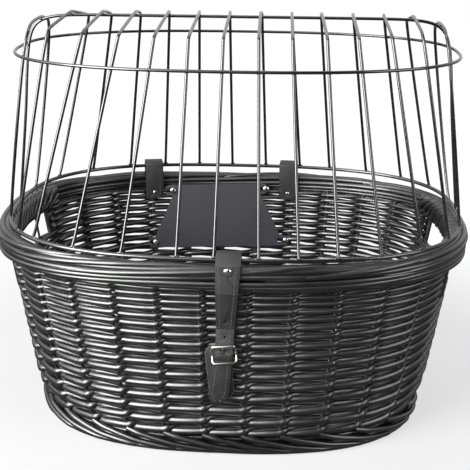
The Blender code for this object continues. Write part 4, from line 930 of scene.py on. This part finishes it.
    def pressed_in(self, points: Array) -> Array:
        """Return how far rods give way behind the buckle's straps.

        Args:
            points: places on the wall.
        Returns:
            A sink along the outward direction, 0 or less.
        """
        x, y, z = points.T
        bottom, top = self.press_heights
        bottom_fade, top_fade = self.press_fades
        beside = np.clip(1.0 - (np.abs(x - self.press_place) / self.press_half) ** 4, 0.0, 1.0)
        low = np.clip((top - z) / top_fade, 0.0, 1.0) * np.clip((z - bottom) / bottom_fade, 0.0, 1.0)
        return -self.press_depth * beside * low * (y < 0.0)

    def weavers(self, rows: Sequence[int]) -> list[Rod]:
        """Return the paired rods of some rows.

        Args:
            rows: numbers of the rows.
        Returns:
            Two rods a row, or two runs of each where the hand holes break it.
        """
        rng = np.random.default_rng(self.weave_seed)
        rods: list[Rod] = []
        spacing = np.array(self.spacing_shares)
        stakes = np.arange(self.stake_count)[:, None]
        along = (stakes + spacing).ravel()
        phase = (stakes + np.interp(spacing, self.warp_shares, self.warp_phases)).ravel()
        for row in rows:
            height = self.row_start + self.row_pitch * row - self.row_closing * row * row
            pitch = self.row_pitch - 2.0 * self.row_closing * row
            girth = self.girth_least + self.girth_share * pitch
            oval = self.oval(height, self.weave_inset + self.swing + girth)
            points = oval.at(oval.directions(along / self.stake_count))
            backward = np.clip(points[:, 1] / oval.half_depth + self.back_start, 0.0, 1.0)
            girth = girth * (1.0 + self.back_growth * backward)
            outward = oval.outward(points)
            points[:, 2] = height
            for half in (0.0, 1.0):
                sway = 1.0 + self.girth_sway * (np.cos(math.pi * (phase + half)) - 1.0)
                rod = Rod(points, girth * sway, outward, phase + half, swing=1.0, sink=self.pressed_in(points),
                          lift=self.twist_share * pitch, tint=rng.random(), closed=True)
                rods += self.broken(rod) if height > self.hole_bottom else [rod]
        return rods

    def broken(self, rod: Rod) -> list[Rod]:
        """Cut a ring at both hand holes.

        Args:
            rod: a closed ring.
        Returns:
            Its front and its back run.
        """
        kept = np.abs(rod.points[:, 1]) > self.hole_reach
        count = len(kept)
        runs = []
        for front in (True, False):
            chosen = np.flatnonzero(kept & ((rod.points[:, 1] < 0.0) == front))
            chosen = chosen[np.argsort((chosen - (count // 2 if front else 0)) % count)]
            picked = {key: getattr(rod, key)[chosen] for key in ("points", "girth", "outward", "phase", "sink")}
            runs.append(replace(rod, closed=False, **picked))
        return runs

    def stakes(self) -> list[Rod]:
        """Return the upright stakes, the posts beside the hand holes and the bar across one."""
        rods: list[Rod] = []
        bottom, top = self.stake_heights
        for number in range(self.stake_count):
            path = self.upright(number, bottom, top)
            if abs(path[-1][1]) < self.hole_reach:
                path = self.upright(number, bottom, self.stub_height)
                if number == self.stake_count // 2 - 1:
                    rods.append(Rod(self.upright(number, self.bar_bottom, top), self.bar_radius, tint=0.2))
            rods.append(Rod(path, self.stake_radius, tint=0.3))
        for side in (-1.0, 1.0):
            for end in (-1.0, 1.0):
                for step, girth in self.post_rods:
                    y = self.hole_reach + self.post_beside + step
                    post = [(side * self.oval(height, self.weave_inset + self.post_inset).reach(y), end * y, height)
                            for height in np.linspace(self.post_bottom, top, 8)]
                    rods.append(Rod(np.array(post), girth, tint=0.25))
        return rods

    def upright(self, number: int, low: float, high: float) -> Array:
        """Return a stake's middle line.

        Args:
            number: the stake, counted round.
            low: lower end's height.
            high: upper end's height.
        Returns:
            Points from low to high.
        """
        path = []
        for height in np.linspace(low, high, max(4, int((high - low) / self.stake_step))):
            oval = self.oval(height, self.weave_inset + self.swing + self.stake_inset)
            x, y, _ = oval.ring(self.stake_count)[number]
            path.append((x, y, height))
        return np.array(path)

    def rim_loop(self) -> tuple[Array, Array]:
        """Return the rolled rim's section.

        Returns:
            Outward reach and drop of points spaced evenly once round it.
        """
        corners = np.array(self.rim_section) * 0.001
        length = travelled(corners)
        even = np.linspace(0.0, length[-1], self.section_steps + 1)
        return np.interp(even, length, corners[:, 0]), np.interp(even, length, corners[:, 1])

    def rim(self) -> list[Rod]:
        """Return the rolled rim's rods, which wind slowly round its section."""
        reach, drop = self.rim_loop()
        stops = np.arange(self.section_steps + 1)
        oval = self.rim_oval()
        count = self.rim_stations
        base = oval.ring(count)
        outward = oval.outward(base)
        top = self.rim_top(base)
        rng = np.random.default_rng(self.rim_seed)

        def laid(first: int, turn: Array, girth: Numbers, proud: Numbers = 0.0) -> Rod:
            """Lay a rod along the rim.

            Args:
                first: the station that it starts at.
                turn: its place round the section at each station, in turns.
                girth: its radius.
                proud: how far it stands out of the section.
            Returns:
                The rod.
            """
            index = (first + np.arange(len(turn))) % count
            place = turn % 1.0 * self.section_steps
            out = np.interp(place, stops, reach)
            down = np.interp(place, stops, drop)
            aside = np.sign(out) * np.minimum(1.0, np.abs(out) / self.proud_reach)
            raised = np.clip((self.proud_middle - down) / self.proud_room, -1.0, 1.0)
            path = base[index] + outward[index] * (out + proud * aside)[:, None]
            path[:, 2] = top[index] - down + proud * raised
            return Rod(path, girth, tint=drawn(rng, self.rim_tint))

        rods = []
        around = np.linspace(0.0, 1.0, count + 1)
        for number in range(self.rim_rods):
            sway = sum(self.rim_sway / wave * np.sin(math.tau * (wave * around + rng.random()))
                       for wave in self.sway_waves)
            turn = (number + self.rim_shift * around + sway) / self.rim_rods
            rods.append(laid(0, turn, self.rim_rod_radius))
        for rider in range(self.rim_riders):
            share = np.linspace(0.0, 1.0, int(count * drawn(rng, self.rider_span)))
            turn = drawn(rng, self.rider_turn) + drawn(rng, self.rider_wind) * share
            arc = np.sin(math.pi * share) ** 0.5
            girth = self.rim_rod_radius * (self.rider_tip + (1.0 - self.rider_tip) * arc)
            first = int(count * (rider + drawn(rng, self.rider_jitter)) / self.rim_riders)
            rods.append(laid(first, turn, girth, self.rider_proud * arc - self.sunk))
        for station in (0, count // 2):
            for middle, span in self.bed_rods:
                share = np.linspace(-1.0, 1.0, span)
                proud = self.bed_proud * (1.0 - share ** 4) - self.sunk
                rods.append(laid(station - span // 2, middle + self.bed_turn * share, self.rim_rod_radius, proud))
        return rods

    def grip(self, sign: float) -> list[Rod]:
        """Return the rods wrapped slantwise round the rim over one hand hole.

        Args:
            sign: 1 for the right end, -1 for the left.
        Returns:
            The rods.
        """
        oval = self.rim_oval()
        share = np.linspace(0.0, 1.0, self.grip_steps)
        way = 2.0 * share - 1.0
        y = way * self.grip_reach
        base = np.stack([sign * oval.reach(y), y, 0.0 * y], axis=1)
        outward = oval.outward(base)
        top = self.rim_top(base)
        swell = 1.0 - np.abs(way) ** 4
        half_width = self.grip_half_width + self.width_swell * swell
        half_height = self.grip_half_height + self.height_swell * swell
        rods = []
        rng = np.random.default_rng(self.grip_seed)
        for strand in range(self.grip_strands):
            turn = math.tau * (strand / self.grip_strands + sign * self.grip_turns * share)
            across, rise = (np.sign(wave) * np.abs(wave) ** self.grip_squareness
                            for wave in (np.cos(turn), np.sin(turn)))
            path = base + outward * (across * half_width - self.grip_inset)[:, None]
            path[:, 2] = top - self.grip_drop + rise * half_height - self.under_swell * swell * (rise < 0.0)
            girth = self.grip_strand_radius * drawn(rng, self.grip_girth)
            rods.append(Rod(path, girth, tint=drawn(rng, self.rod_tint)))
        return rods

    def foot(self) -> list[Rod]:
        """Return the foot border: stakes turned down along the foot, over a core of plain rods."""
        oval = Oval(self.border_length, self.border_depth, self.foot_power)
        count = self.stake_count * self.border_steps
        ring = oval.ring(count)
        outward = oval.outward(ring)
        rods = []
        rng = np.random.default_rng(self.foot_seed)
        steps = int(self.border_reach * self.border_steps)
        height, out = (np.interp(np.linspace(0.0, 1.0, steps), *zip(*line))
                       for line in (self.border_heights, self.border_outs))
        for stake in range(self.stake_count):
            index = (stake * self.border_steps + np.arange(steps)) % count
            path = ring[index] + outward[index] * out[:, None]
            path[:, 2] = height
            rods.append(Rod(path, self.border_rod_radius, tint=drawn(rng, self.rod_tint)))
        for offset, height in self.core_rods:
            path = ring + outward * offset
            path[:, 2] = height
            rods.append(Rod(path, self.border_rod_radius, closed=True, tint=0.25))
        return rods

    def floor(self) -> list[Rod]:
        """Return the floor: rings woven over stakes that run in from the wall."""
        rods = []
        height = self.floor_height
        count = self.stake_count * self.floor_steps
        upward = np.tile((0.0, 0.0, 1.0), (count, 1))
        for ring in range(self.floor_rings):
            length, depth = (half - self.floor_pitch * ring for half in self.floor_half)
            points = Oval(length, depth, self.floor_power).ring(count)
            points[:, 2] = height
            rods.append(Rod(points, self.floor_rod_radius, upward, np.arange(count) / self.floor_steps + ring,
                            swing=self.floor_swing, closed=True, tint=0.2 + 0.03 * (ring % 7)))
        for start in Oval(*self.floor_stake_half, self.floor_power).ring(self.stake_count):
            middle = np.array([np.clip(start[0], -self.spine_half, self.spine_half), 0.0, 0.0])
            path = start + (middle - start) * np.linspace(0.0, 1.0, 12)[:, None]
            path[:, 2] = height
            rods.append(Rod(path, self.floor_stake_radius, tint=0.3))
        for y in (-self.spine_rod_place, self.spine_rod_place):
            path = np.array([(x, y, height) for x in np.linspace(-self.spine_rod_half, self.spine_rod_half, 12)])
            rods.append(Rod(path, self.spine_rod_radius, tint=0.4))
        return rods

    def run(self, name: str, rods: Sequence[Rod], wander: float, sides: int) -> bpy.types.Object:
        """Return rods as one dressed mesh, each with so many sides and straying so many metres."""
        return self.tree.apply(rod_object(name, rods), {
            "Material": self.material, "Sides": sides, "Swing": self.swing, "Skew": self.weave_skew,
            "Wander": wander, "Wander scale": self.wander_scale, "Girth variation": self.girth_variation,
            "Seed": float(len(name))})

    def build(self) -> None:
        """Make and place every woven piece."""
        rows = range(self.first_row, self.last_row + 1)
        half = len(rows) // 2
        for name, rods, wander, sides, nodes in (
                ("lower_weave", self.weavers(rows[:half]), 0.0015, 8, ()),
                ("upper_weave", self.weavers(rows[half:]), 0.0015, 8, ("wicker_wall",)),
                ("stakes", self.stakes(), 0.0006, 8, ()),
                ("rolled_rim", self.rim(), 0.0007, 8, ("rim_border",)),
                ("foot_roll", self.foot(), 0.0005, 8, ("foot_border",)),
                ("grip_left", self.grip(-1.0), 0.0006, 8, ("hand_grip_left",)),
                ("grip_right", self.grip(1.0), 0.0006, 8, ("hand_grip_right",)),
                ("woven_floor", self.floor(), 0.0006, 6, ("wicker_floor",))):
            show(self.run(name, rods, wander, sides), Body.BASKET, Slot.WICKER, *nodes)


# ---- wire dome -----------------------------------------------------------------------------------

@dataclass
class WireDome:
    """Lid of lacquered wire: base ring, middle hoop, ridge wire and fourteen arches."""

    lacquer: CloudedFinish = GLOSS_LACQUER
    shift: float = 0.0035
    ring_height: float = 0.2030
    ring_length: float = 0.2220
    ring_depth: float = 0.1603
    ring_radius: float = 0.0020
    wire_radius: float = 0.0015
    height: float = 0.1930
    hoop_drop: float = 0.0342
    gap: float = 0.0003
    plan_power: float = 2.70
    plan_power_fall: float = 0.235
    crown_fall_front: float = 0.0065
    crown_fall_back: float = 0.0135
    crown_power: float = 0.8
    crown_falls: float = 2.6
    shoulder_power: float = 16.0
    end_power: float = 13.8
    lean_depth: float = 0.26
    lean_length: float = 0.0714
    front_feet: Shares = (-.977, -.899, -.808, -.623, -.418, -.195, -.046, .130, .287, .443, .615, .783, .909, .979)
    back_feet: Shares = (-.984, -.911, -.768, -.589, -.411, -.233, -.059, .117, .295, .449, .635, .803, .926, .992)
    ridge_places: Shares = (-.867, -.725, -.586, -.443, -.299, -.164, -.031, .100, .235, .364, .496, .627, .755,
                            .870)
    front_shoulders: Shares = (-.860, -.743, -.586, -.433, -.291, -.157, -.023, .112, .241, .374, .496, .627, .755,
                               .870)
    back_shoulders: Shares = (-.880, -.725, -.626, -.493, -.358, -.214, -.066, .090, .235, .374, .526, .667, .765,
                              .880)
    leg_steps: int = 16
    crown_steps: int = 33
    crown_crowding: float = 1.5
    hoop_steps: int = 160
    ridge_steps: int = 30
    wire_sides: int = 12
    wire_unevenness: float = 0.02
    toe_spread: float = 0.0019
    toe_drop: float = 0.0005
    toe_slope: float = 0.55
    toe_radius: float = 0.0011
    toe_stretch: float = 2.1

    def half_length(self, share: float) -> float:
        """Return the dome's half length at a share of its height."""
        length = self.ring_length * (1.0 - self.lean_length * share)
        return length * (1.0 - share ** self.end_power) ** (1.0 / self.end_power)

    def oval(self, share: float, fall: float) -> Oval:
        """Return the dome's outline.

        Args:
            share: share of its height.
            fall: how far the crown falls to its shoulders.
        Returns:
            The outline there.
        """
        side = self.ring_depth * (1.0 - self.lean_depth * share)
        crown = side * max(1e-9, (1.0 - share) * self.height / fall) ** self.crown_power
        depth = (side ** -self.shoulder_power + crown ** -self.shoulder_power) ** (-1.0 / self.shoulder_power)
        return Oval(self.half_length(share), depth, self.plan_power - self.plan_power_fall * share, self.shift)

    def depth(self, x: float, share: float, fall: float) -> float:
        """Return how deep the dome is.

        Args:
            x: place along it.
            share: share of its height.
            fall: how far the crown falls to its shoulders.
        Returns:
            The half depth there, 0 outside.
        """
        oval = self.oval(share, fall)
        inside = 1.0 - abs(x / oval.half_length) ** oval.power
        return oval.half_depth * inside ** (1.0 / oval.power) if inside > 0.0 else 0.0

    def share_at(self, x: float) -> float:
        """Find by halving where the dome ends along x.

        Args:
            x: the half length that is looked for.
        Returns:
            The share of the height where the dome has shrunk to it.
        """
        low, high = 0.0, 1.0 - 1e-6
        for _ in range(40):
            middle = (low + high) / 2.0
            if self.half_length(middle) > x:
                low = middle
            else:
                high = middle
        return low

    def arch_half(self, foot: float, shoulder: float, ridge: float, sign: float) -> Array:
        """Return half an arch.

        Args:
            foot: share of the ring's half length where it stands.
            shoulder: share where it bends.
            ridge: share where it crosses the ridge.
            sign: -1 in front, 1 behind.
        Returns:
            Points from the base ring to the ridge.
        """
        foot_x, bend_x, ridge_x = (share * self.ring_length for share in (foot, shoulder, ridge))
        fall = self.crown_fall_front if sign < 0.0 else self.crown_fall_back
        top = self.share_at(abs(ridge_x))
        bend = top - fall / self.height
        crown_share = self.crown_falls * fall / self.height
        leg = np.linspace(0.0, top - crown_share, self.leg_steps, endpoint=False)
        crown = top - crown_share * np.linspace(1.0, 0.0, self.crown_steps) ** self.crown_crowding
        points = []
        for share in np.concatenate([leg, crown]):
            left = (top - share) * self.height / fall
            x = ridge_x + (bend_x - ridge_x) * left ** self.crown_power
            if share < bend:
                x = foot_x + (bend_x - foot_x) * share / bend
            depth = self.depth(x, share, fall) if share < top else 0.0
            points.append((x + self.shift, sign * depth, self.ring_height + self.height * share))
        points[0] = (points[0][0], points[0][1], self.ring_height + self.ring_radius + self.gap)
        return np.array(points)

    def hoop(self, share: float, growth: float) -> Array:
        """Return a closed hoop.

        Args:
            share: share of the dome's height.
            growth: how far outside the dome it runs.
        Returns:
            Its points.
        """
        plain = self.oval(share, self.crown_fall_back)
        wider = Oval(plain.half_length + growth, plain.half_depth + growth, plain.power, self.shift)
        points = wider.ring(self.hoop_steps)
        points[:, 2] = self.ring_height + self.height * share
        return points

    def ridge(self) -> Array:
        """Return the ridge wire's points, inside the arches."""
        tuck = 2.0 * self.wire_radius + self.gap
        quarter = []
        for step in range(self.ridge_steps + 1):
            angle = math.pi / 2.0 * step / self.ridge_steps
            x = self.ring_length * math.cos(angle) ** (1.0 / 3.0)
            share = self.share_at(x) if step else 0.0
            slope = np.array([x / self.ring_length, 0.0, share]) ** (self.end_power - 1.0)
            slope *= tuck * min(1.0, share / 0.5) / max(1e-9, float(np.linalg.norm(slope)))
            quarter.append(np.array([x, 0.0, self.height * share]) - slope)
        quarter[0][2] = self.ring_radius + self.gap
        mirrored = [point * (-1.0, 1.0, 1.0) for point in quarter]
        return np.array(mirrored + quarter[-2::-1]) + (self.shift, 0.0, self.ring_height)

    def build(self, rods: RodTree) -> None:
        """Make the wires and their welds.

        Args:
            rods: the tree that sweeps them.
        """
        material = self.lacquer.build("black_lacquered_wire")
        hoop = self.hoop(1.0 - self.hoop_drop / self.height, 2.0 * self.wire_radius + 4.0 * self.gap)
        wires = {"base_ring": Rod(self.hoop(0.0, 0.0), self.ring_radius, closed=True),
                 "mid_hoop": Rod(hoop, self.wire_radius, closed=True),
                 "ridge_wire": Rod(self.ridge(), self.wire_radius)}
        feet: list[Array] = []
        arches = zip(self.front_feet, self.front_shoulders, self.ridge_places, self.back_shoulders, self.back_feet)
        for number, (front, front_bend, ridge, back_bend, back) in enumerate(arches, 1):
            near = self.arch_half(front, front_bend, ridge, -1.0)
            far = self.arch_half(back, back_bend, ridge, 1.0)
            feet += [near[0], far[0]]
            wires[f"arch_{number:02d}"] = Rod(np.vstack([near, far[-2::-1]]), self.wire_radius)
        for name, rod in wires.items():
            item = rods.apply(rod_object(f"wire_{name}", [rod]), {
                "Material": material, "Sides": self.wire_sides, "Swing": 0.0, "Skew": 0.0, "Wander": 0.0,
                "Wander scale": 20.0, "Girth variation": self.wire_unevenness, "Seed": 1.0})
            show(item, Body.LID, Slot.WIRE, f"lid_{name}")
        self.welds(np.array(feet), material)

    def welds(self, feet: Array, material: bpy.types.Material) -> None:
        """Put a pair of splayed weld toes under each arch foot.

        Args:
            feet: where the arches end.
            material: the wires' finish.
        """
        outward = self.oval(0.0, self.crown_fall_back).outward(feet)
        tangent = np.stack([-outward[:, 1], outward[:, 0], 0.0 * outward[:, 0]], axis=1)
        sides = (-1.0, 1.0)
        places = [feet + tangent * self.toe_spread * side + (0.0, 0.0, -self.toe_drop) for side in sides]
        ways = [tangent * side + (0.0, 0.0, -self.toe_slope) for side in sides]
        item = bead_object("weld_toes", np.vstack(places), np.vstack(ways))
        BeadTree().apply(item, {"Material": material, "Radius": self.toe_radius, "Long": self.toe_stretch,
                                "Size variation": 0.15, "Seed": 4})
        show(item, Body.LID, Slot.WIRE)


# ---- leather and metal ---------------------------------------------------------------------------

@dataclass(frozen=True)
class EdgeWork:
    """How a CAD mesh's edges are rounded and shaded."""

    bevel: float
    segments: int
    smooth_degrees: float
    weighting: str
    flat_degrees: float = 1.0
    sharp_degrees: float = 48.0
    narrow: float = 1.5


LEATHER_EDGES = EdgeWork(0.00042, 2, 45.0, "CORNER_ANGLE")
METAL_EDGES = EdgeWork(0.00015, 1, 60.0, "CORNER_ANGLE")
PLATE_EDGES = EdgeWork(0.0005, 2, 35.0, "FACE_AREA")


def worked_copy(node: str, name: str, material: bpy.types.Material, work: EdgeWork) -> bpy.types.Object:
    """Copy a CAD node's mesh, close it, round its edges and dress it.

    Args:
        node: the CAD node.
        name: the new piece's name.
        material: its finish.
        work: what is done to its edges.
    Returns:
        The new piece, with an edge attribute of 1 on its rounded edges.
    """
    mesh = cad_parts[node].data.copy()
    mesh.name = name
    mesh.materials.clear()
    mesh.materials.append(material)
    shape = bmesh.new()
    shape.from_mesh(mesh)
    for face in shape.faces:
        face.material_index = 0
    bmesh.ops.remove_doubles(shape, verts=shape.verts, dist=1e-6)
    bmesh.ops.dissolve_limit(shape, angle_limit=math.radians(work.flat_degrees), verts=shape.verts,
                             edges=shape.edges)
    layer = shape.faces.layers.float.new("edge")
    sharp = [edge for edge in shape.edges
             if edge.is_manifold and edge.calc_face_angle(0.0) > math.radians(work.sharp_degrees)]
    made = bmesh.ops.bevel(shape, geom=sharp, offset=work.bevel, offset_type="OFFSET", segments=work.segments,
                           profile=0.5, affect="EDGES", clamp_overlap=True)
    for face in made["faces"]:
        width = 2.0 * face.calc_area() / max(1e-9, face.calc_perimeter())
        face[layer] = 1.0 if width < work.narrow * work.bevel else 0.0
    for face in shape.faces:
        face.smooth = True
    for edge in shape.edges:
        edge.smooth = not edge.is_manifold or edge.calc_face_angle(0.0) < math.radians(work.smooth_degrees)
    shape.to_mesh(mesh)
    shape.free()
    item = linked(name, mesh)
    weighted = item.modifiers.new("flat_faces", "WEIGHTED_NORMAL")
    weighted.mode = work.weighting
    weighted.keep_sharp = True
    return baked(item, weighted)


@dataclass
class Stitching:
    """Two rows of stitches along a strap, found on its surface."""

    thread: CloudedFinish = WAXED_THREAD
    inset: float = 0.0034
    pitch: float = 0.0040
    radius: float = 0.00042
    stretch: float = 3.4
    proud: float = 0.0001
    sample: float = 0.0003
    margin: float = 0.001
    least_samples: int = 20
    least_normal: float = 0.4
    stand_off: float = 0.05

    def surface(self, node: str) -> BVHTree:
        """Make a search tree.

        Args:
            node: a CAD node.
        Returns:
            The tree of its faces.
        """
        shape = bmesh.new()
        shape.from_mesh(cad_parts[node].data)
        tree = BVHTree.FromBMesh(shape)
        shape.free()
        return tree

    def row(self, node: str, low: float, high: float, towards: float) -> tuple[list[Vector], list[Vector]]:
        """Find stitch places on one side of a strap.

        Args:
            node: the strap.
            low: lowest height.
            high: highest height.
            towards: 1 where the side is seen looking along +Y, -1 along -Y.
        Returns:
            Places and directions of the stitches.
        """
        tree = self.surface(node)
        lowest, highest = (Vector(corner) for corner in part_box(node))
        start = (lowest.y - self.stand_off) if towards > 0.0 else (highest.y + self.stand_off)
        ray = Vector((0.0, towards, 0.0))
        places: list[Vector] = []
        ways: list[Vector] = []
        rows: list[list[Vector]] = [[], []]
        height = high
        while height > low:
            hits = []
            for x in np.arange(lowest.x - self.margin, highest.x + self.margin, self.sample):
                place, normal, _, _ = tree.ray_cast(Vector((x, start, height)), ray)
                if place is not None and abs(normal.y) > self.least_normal:
                    hits.append(place)
            if len(hits) > self.least_samples and hits[-1].x - hits[0].x > 2.0 * self.inset:
                for line, x in zip(rows, (hits[0].x + self.inset, hits[-1].x - self.inset)):
                    place, _, _, _ = tree.ray_cast(Vector((x, start, height)), ray)
                    if place is not None:
                        line.append(place)
            height -= self.pitch
        for line in rows:
            for before, after in zip(line, line[1:]):
                if (after - before).length < 2.0 * self.pitch:
                    places.append((before + after) / 2.0 - ray * self.proud)
                    ways.append((after - before).normalized())
        return places, ways

    def sew(self, name: str, body: Body, runs: Sequence[tuple[str, float, float, float]],
            tree: BeadTree, material: bpy.types.Material) -> None:
        """Make the stitches of some straps of one body.

        Args:
            name: the piece's name.
            body: what the straps ride on.
            runs: node, lowest and highest height, and side of each row.
            tree: the tree that puts a bead on each point.
            material: the thread's finish.
        """
        places: list[Vector] = []
        ways: list[Vector] = []
        for run in runs:
            found, along = self.row(*run)
            places += found
            ways += along
        item = bead_object(name, np.array(places), np.array(ways))
        tree.apply(item, {"Material": material, "Radius": self.radius, "Long": self.stretch,
                          "Size variation": 0.12, "Seed": 9})
        show(item, body, Slot.LEATHER)


@dataclass
class StrapsAndBuckle:
    """Leather straps with their stitches, and the bright hardware."""

    leather: LeatherFinish = LeatherFinish()
    metal: CloudedFinish = BRIGHT_NICKEL
    stitching: Stitching = field(default_factory=Stitching)
    bright: tuple[str, ...] = ("hinge_rivet", "closure_rivet", "anchor_rivet", "anchor_washer", "plate_screw",
                               "plate_nut")
    hinge_seam: Pair = (0.166, 0.202)
    closure_seam: Pair = (0.060, 0.202)

    def build(self) -> None:
        """Make and dress the straps, the buckle, the rivets, the screws and the nuts."""
        leather = self.leather.build("black_strap_leather")
        metal = self.metal.build("bright_nickel")
        hinges = ("hinge_strap_left", "hinge_strap_right")
        for node, body in (*((hinge, Body.BASKET) for hinge in hinges), ("anchor_strap", Body.BASKET),
                           ("anchor_patch", Body.BASKET), ("closure_strap", Body.CLOSURE)):
            show(worked_copy(node, f"leather_{node}", leather, LEATHER_EDGES), body, Slot.LEATHER, node)
        for node, body in (("buckle_frame", Body.BUCKLE), ("buckle_tongue", Body.TONGUE)):
            show(worked_copy(node, f"bright_{node}", metal, METAL_EDGES), body, Slot.NICKEL, node)
        for name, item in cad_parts.items():
            if name.startswith(self.bright):
                for place in item.material_slots:
                    place.material = metal
        thread = self.stitching.thread.build("dark_thread")
        beads = BeadTree()
        runs = [(hinge, *self.hinge_seam, towards) for towards in (1.0, -1.0) for hinge in hinges]
        self.stitching.sew("hinge_stitches", Body.BASKET, runs, beads, thread)
        self.stitching.sew("closure_stitches", Body.CLOSURE, [("closure_strap", *self.closure_seam, 1.0)], beads,
                           thread)


@dataclass
class MountingPlate:
    """Moulded plate that the bracket is clamped to."""

    finish: CloudedFinish = GRAINED_PLASTIC

    def build(self) -> None:
        """Make and dress the plate."""
        material = self.finish.build("grained_grey_plastic")
        show(worked_copy("mounting_plate", "moulded_plate", material, PLATE_EDGES), Body.BASKET, Slot.PLATE,
             "mounting_plate")


# ---- studio --------------------------------------------------------------------------------------

@dataclass(frozen=True)
class Lamp:
    """Soft lamp that faces the basket; its power is in watts."""

    name: str
    place: Place
    size: Pair
    power: float
    target: Place = (0.0, 0.0, 0.12)

    def build(self) -> None:
        """Hang the lamp."""
        data = bpy.data.lights.new(self.name, "AREA")
        data.shape = "RECTANGLE"
        data.size, data.size_y = self.size
        data.energy = self.power
        item = linked(self.name, data)
        item.location = self.place
        item.rotation_euler = (Vector(self.target) - Vector(self.place)).to_track_quat("-Z", "Y").to_euler()


@dataclass
class Studio:
    """Camera at the photograph's angle, soft lamps, white world and a pale floor."""

    eye: Place = (0.05749, -0.98250, 0.50810)
    gaze: Place = (-0.05259, 0.94472, -0.32365)
    roll: float = 0.438
    lens: float = 77.353
    sensor: float = 36.0
    lamps: tuple[Lamp, ...] = (Lamp("key_lamp", (-1.05, -1.05, 0.70), (1.00, 1.30), 42.0),
                               Lamp("fill_lamp", (1.25, -0.75, 0.75), (0.9, 1.1), 9.0),
                               Lamp("top_lamp", (0.0, 0.35, 1.5), (0.9, 0.7), 3.5))
    floor_half: float = 3.0
    world_level: float = 0.10
    dark_side: float = 0.03
    bright_side: float = 0.6
    back_slope: float = 1.6
    back_level: float = 0.35
    box_way: Place = (-0.70, -0.50, 0.45)
    box_edge: float = 0.55
    box_level: float = 4.2
    backdrop: BackdropFinish = BackdropFinish()

    def camera(self) -> None:
        """Place the camera."""
        data = bpy.data.cameras.new("camera")
        data.sensor_width = self.sensor
        data.sensor_fit = "HORIZONTAL"
        data.lens = self.lens
        data.clip_start = 0.01
        gaze = Vector(self.gaze).normalized()
        right = gaze.cross(Vector((0.0, 0.0, 1.0))).normalized()
        up = right.cross(gaze)
        turn = math.radians(self.roll)
        across = right * math.cos(turn) + up * math.sin(turn)
        over = up * math.cos(turn) - right * math.sin(turn)
        item = linked("camera", data)
        item.matrix_world = Matrix.Translation(self.eye) @ Matrix((across, over, -gaze)).transposed().to_4x4()
        bpy.context.scene.camera = item

    def world(self) -> None:
        """Set a world that is white to the camera, dim as a light, and a bright box beside the key lamp in gloss."""
        world = bpy.data.worlds.new("white_studio")
        world.use_nodes = True
        bpy.context.scene.world = world
        graph = Graph(world.node_tree)
        path = graph.node("ShaderNodeLightPath")
        split = graph.node("ShaderNodeSeparateXYZ", None, {0: graph.signal("ShaderNodeTexCoord")})
        away = [Signal(graph, socket) for socket in split.outputs]
        behind = (away[1] * self.back_slope + self.back_level).clamp()
        towards = sum(part * share for part, share in zip(away, Vector(self.box_way).normalized()))
        box = ((towards - self.box_edge) * (1.0 / (1.0 - self.box_edge))).clamp() ** 1.5
        gloss = self.dark_side + self.box_level * box + self.bright_side * behind
        camera = Signal(graph, path.outputs["Is Camera Ray"])
        glossy = Signal(graph, path.outputs["Is Glossy Ray"])
        level = self.world_level + (gloss - self.world_level) * glossy
        level = level + (1.0 - level) * camera
        paint = graph.signal("ShaderNodeBackground", None, {"Color": (1.0, 1.0, 1.0, 1.0), "Strength": level})
        graph.node("ShaderNodeOutputWorld", None, {0: paint})

    def floor(self) -> None:
        """Lay the pale floor."""
        side = self.floor_half
        mesh = bpy.data.meshes.new("pale_floor")
        mesh.from_pydata([(-side, -side, 0.0), (side, -side, 0.0), (side, side, 0.0), (-side, side, 0.0)], [],
                         [(0, 1, 2, 3)])
        mesh.materials.append(self.backdrop.build("pale_floor"))
        linked("pale_floor", mesh)

    def build(self) -> None:
        """Set up camera, lamps, world, floor and view."""
        self.camera()
        for lamp in self.lamps:
            lamp.build()
        self.world()
        self.floor()
        bpy.context.scene.view_settings.view_transform = "Standard"


def main() -> None:
    """Build the dressed basket in order."""
    logging.basicConfig(level=logging.INFO, format="%(name)s: %(message)s")
    Studio().build()
    basket = WovenBasket()
    basket.build()
    WireDome().build(basket.tree)
    StrapsAndBuckle().build()
    MountingPlate().build()


if __name__ == "__main__":
    main()
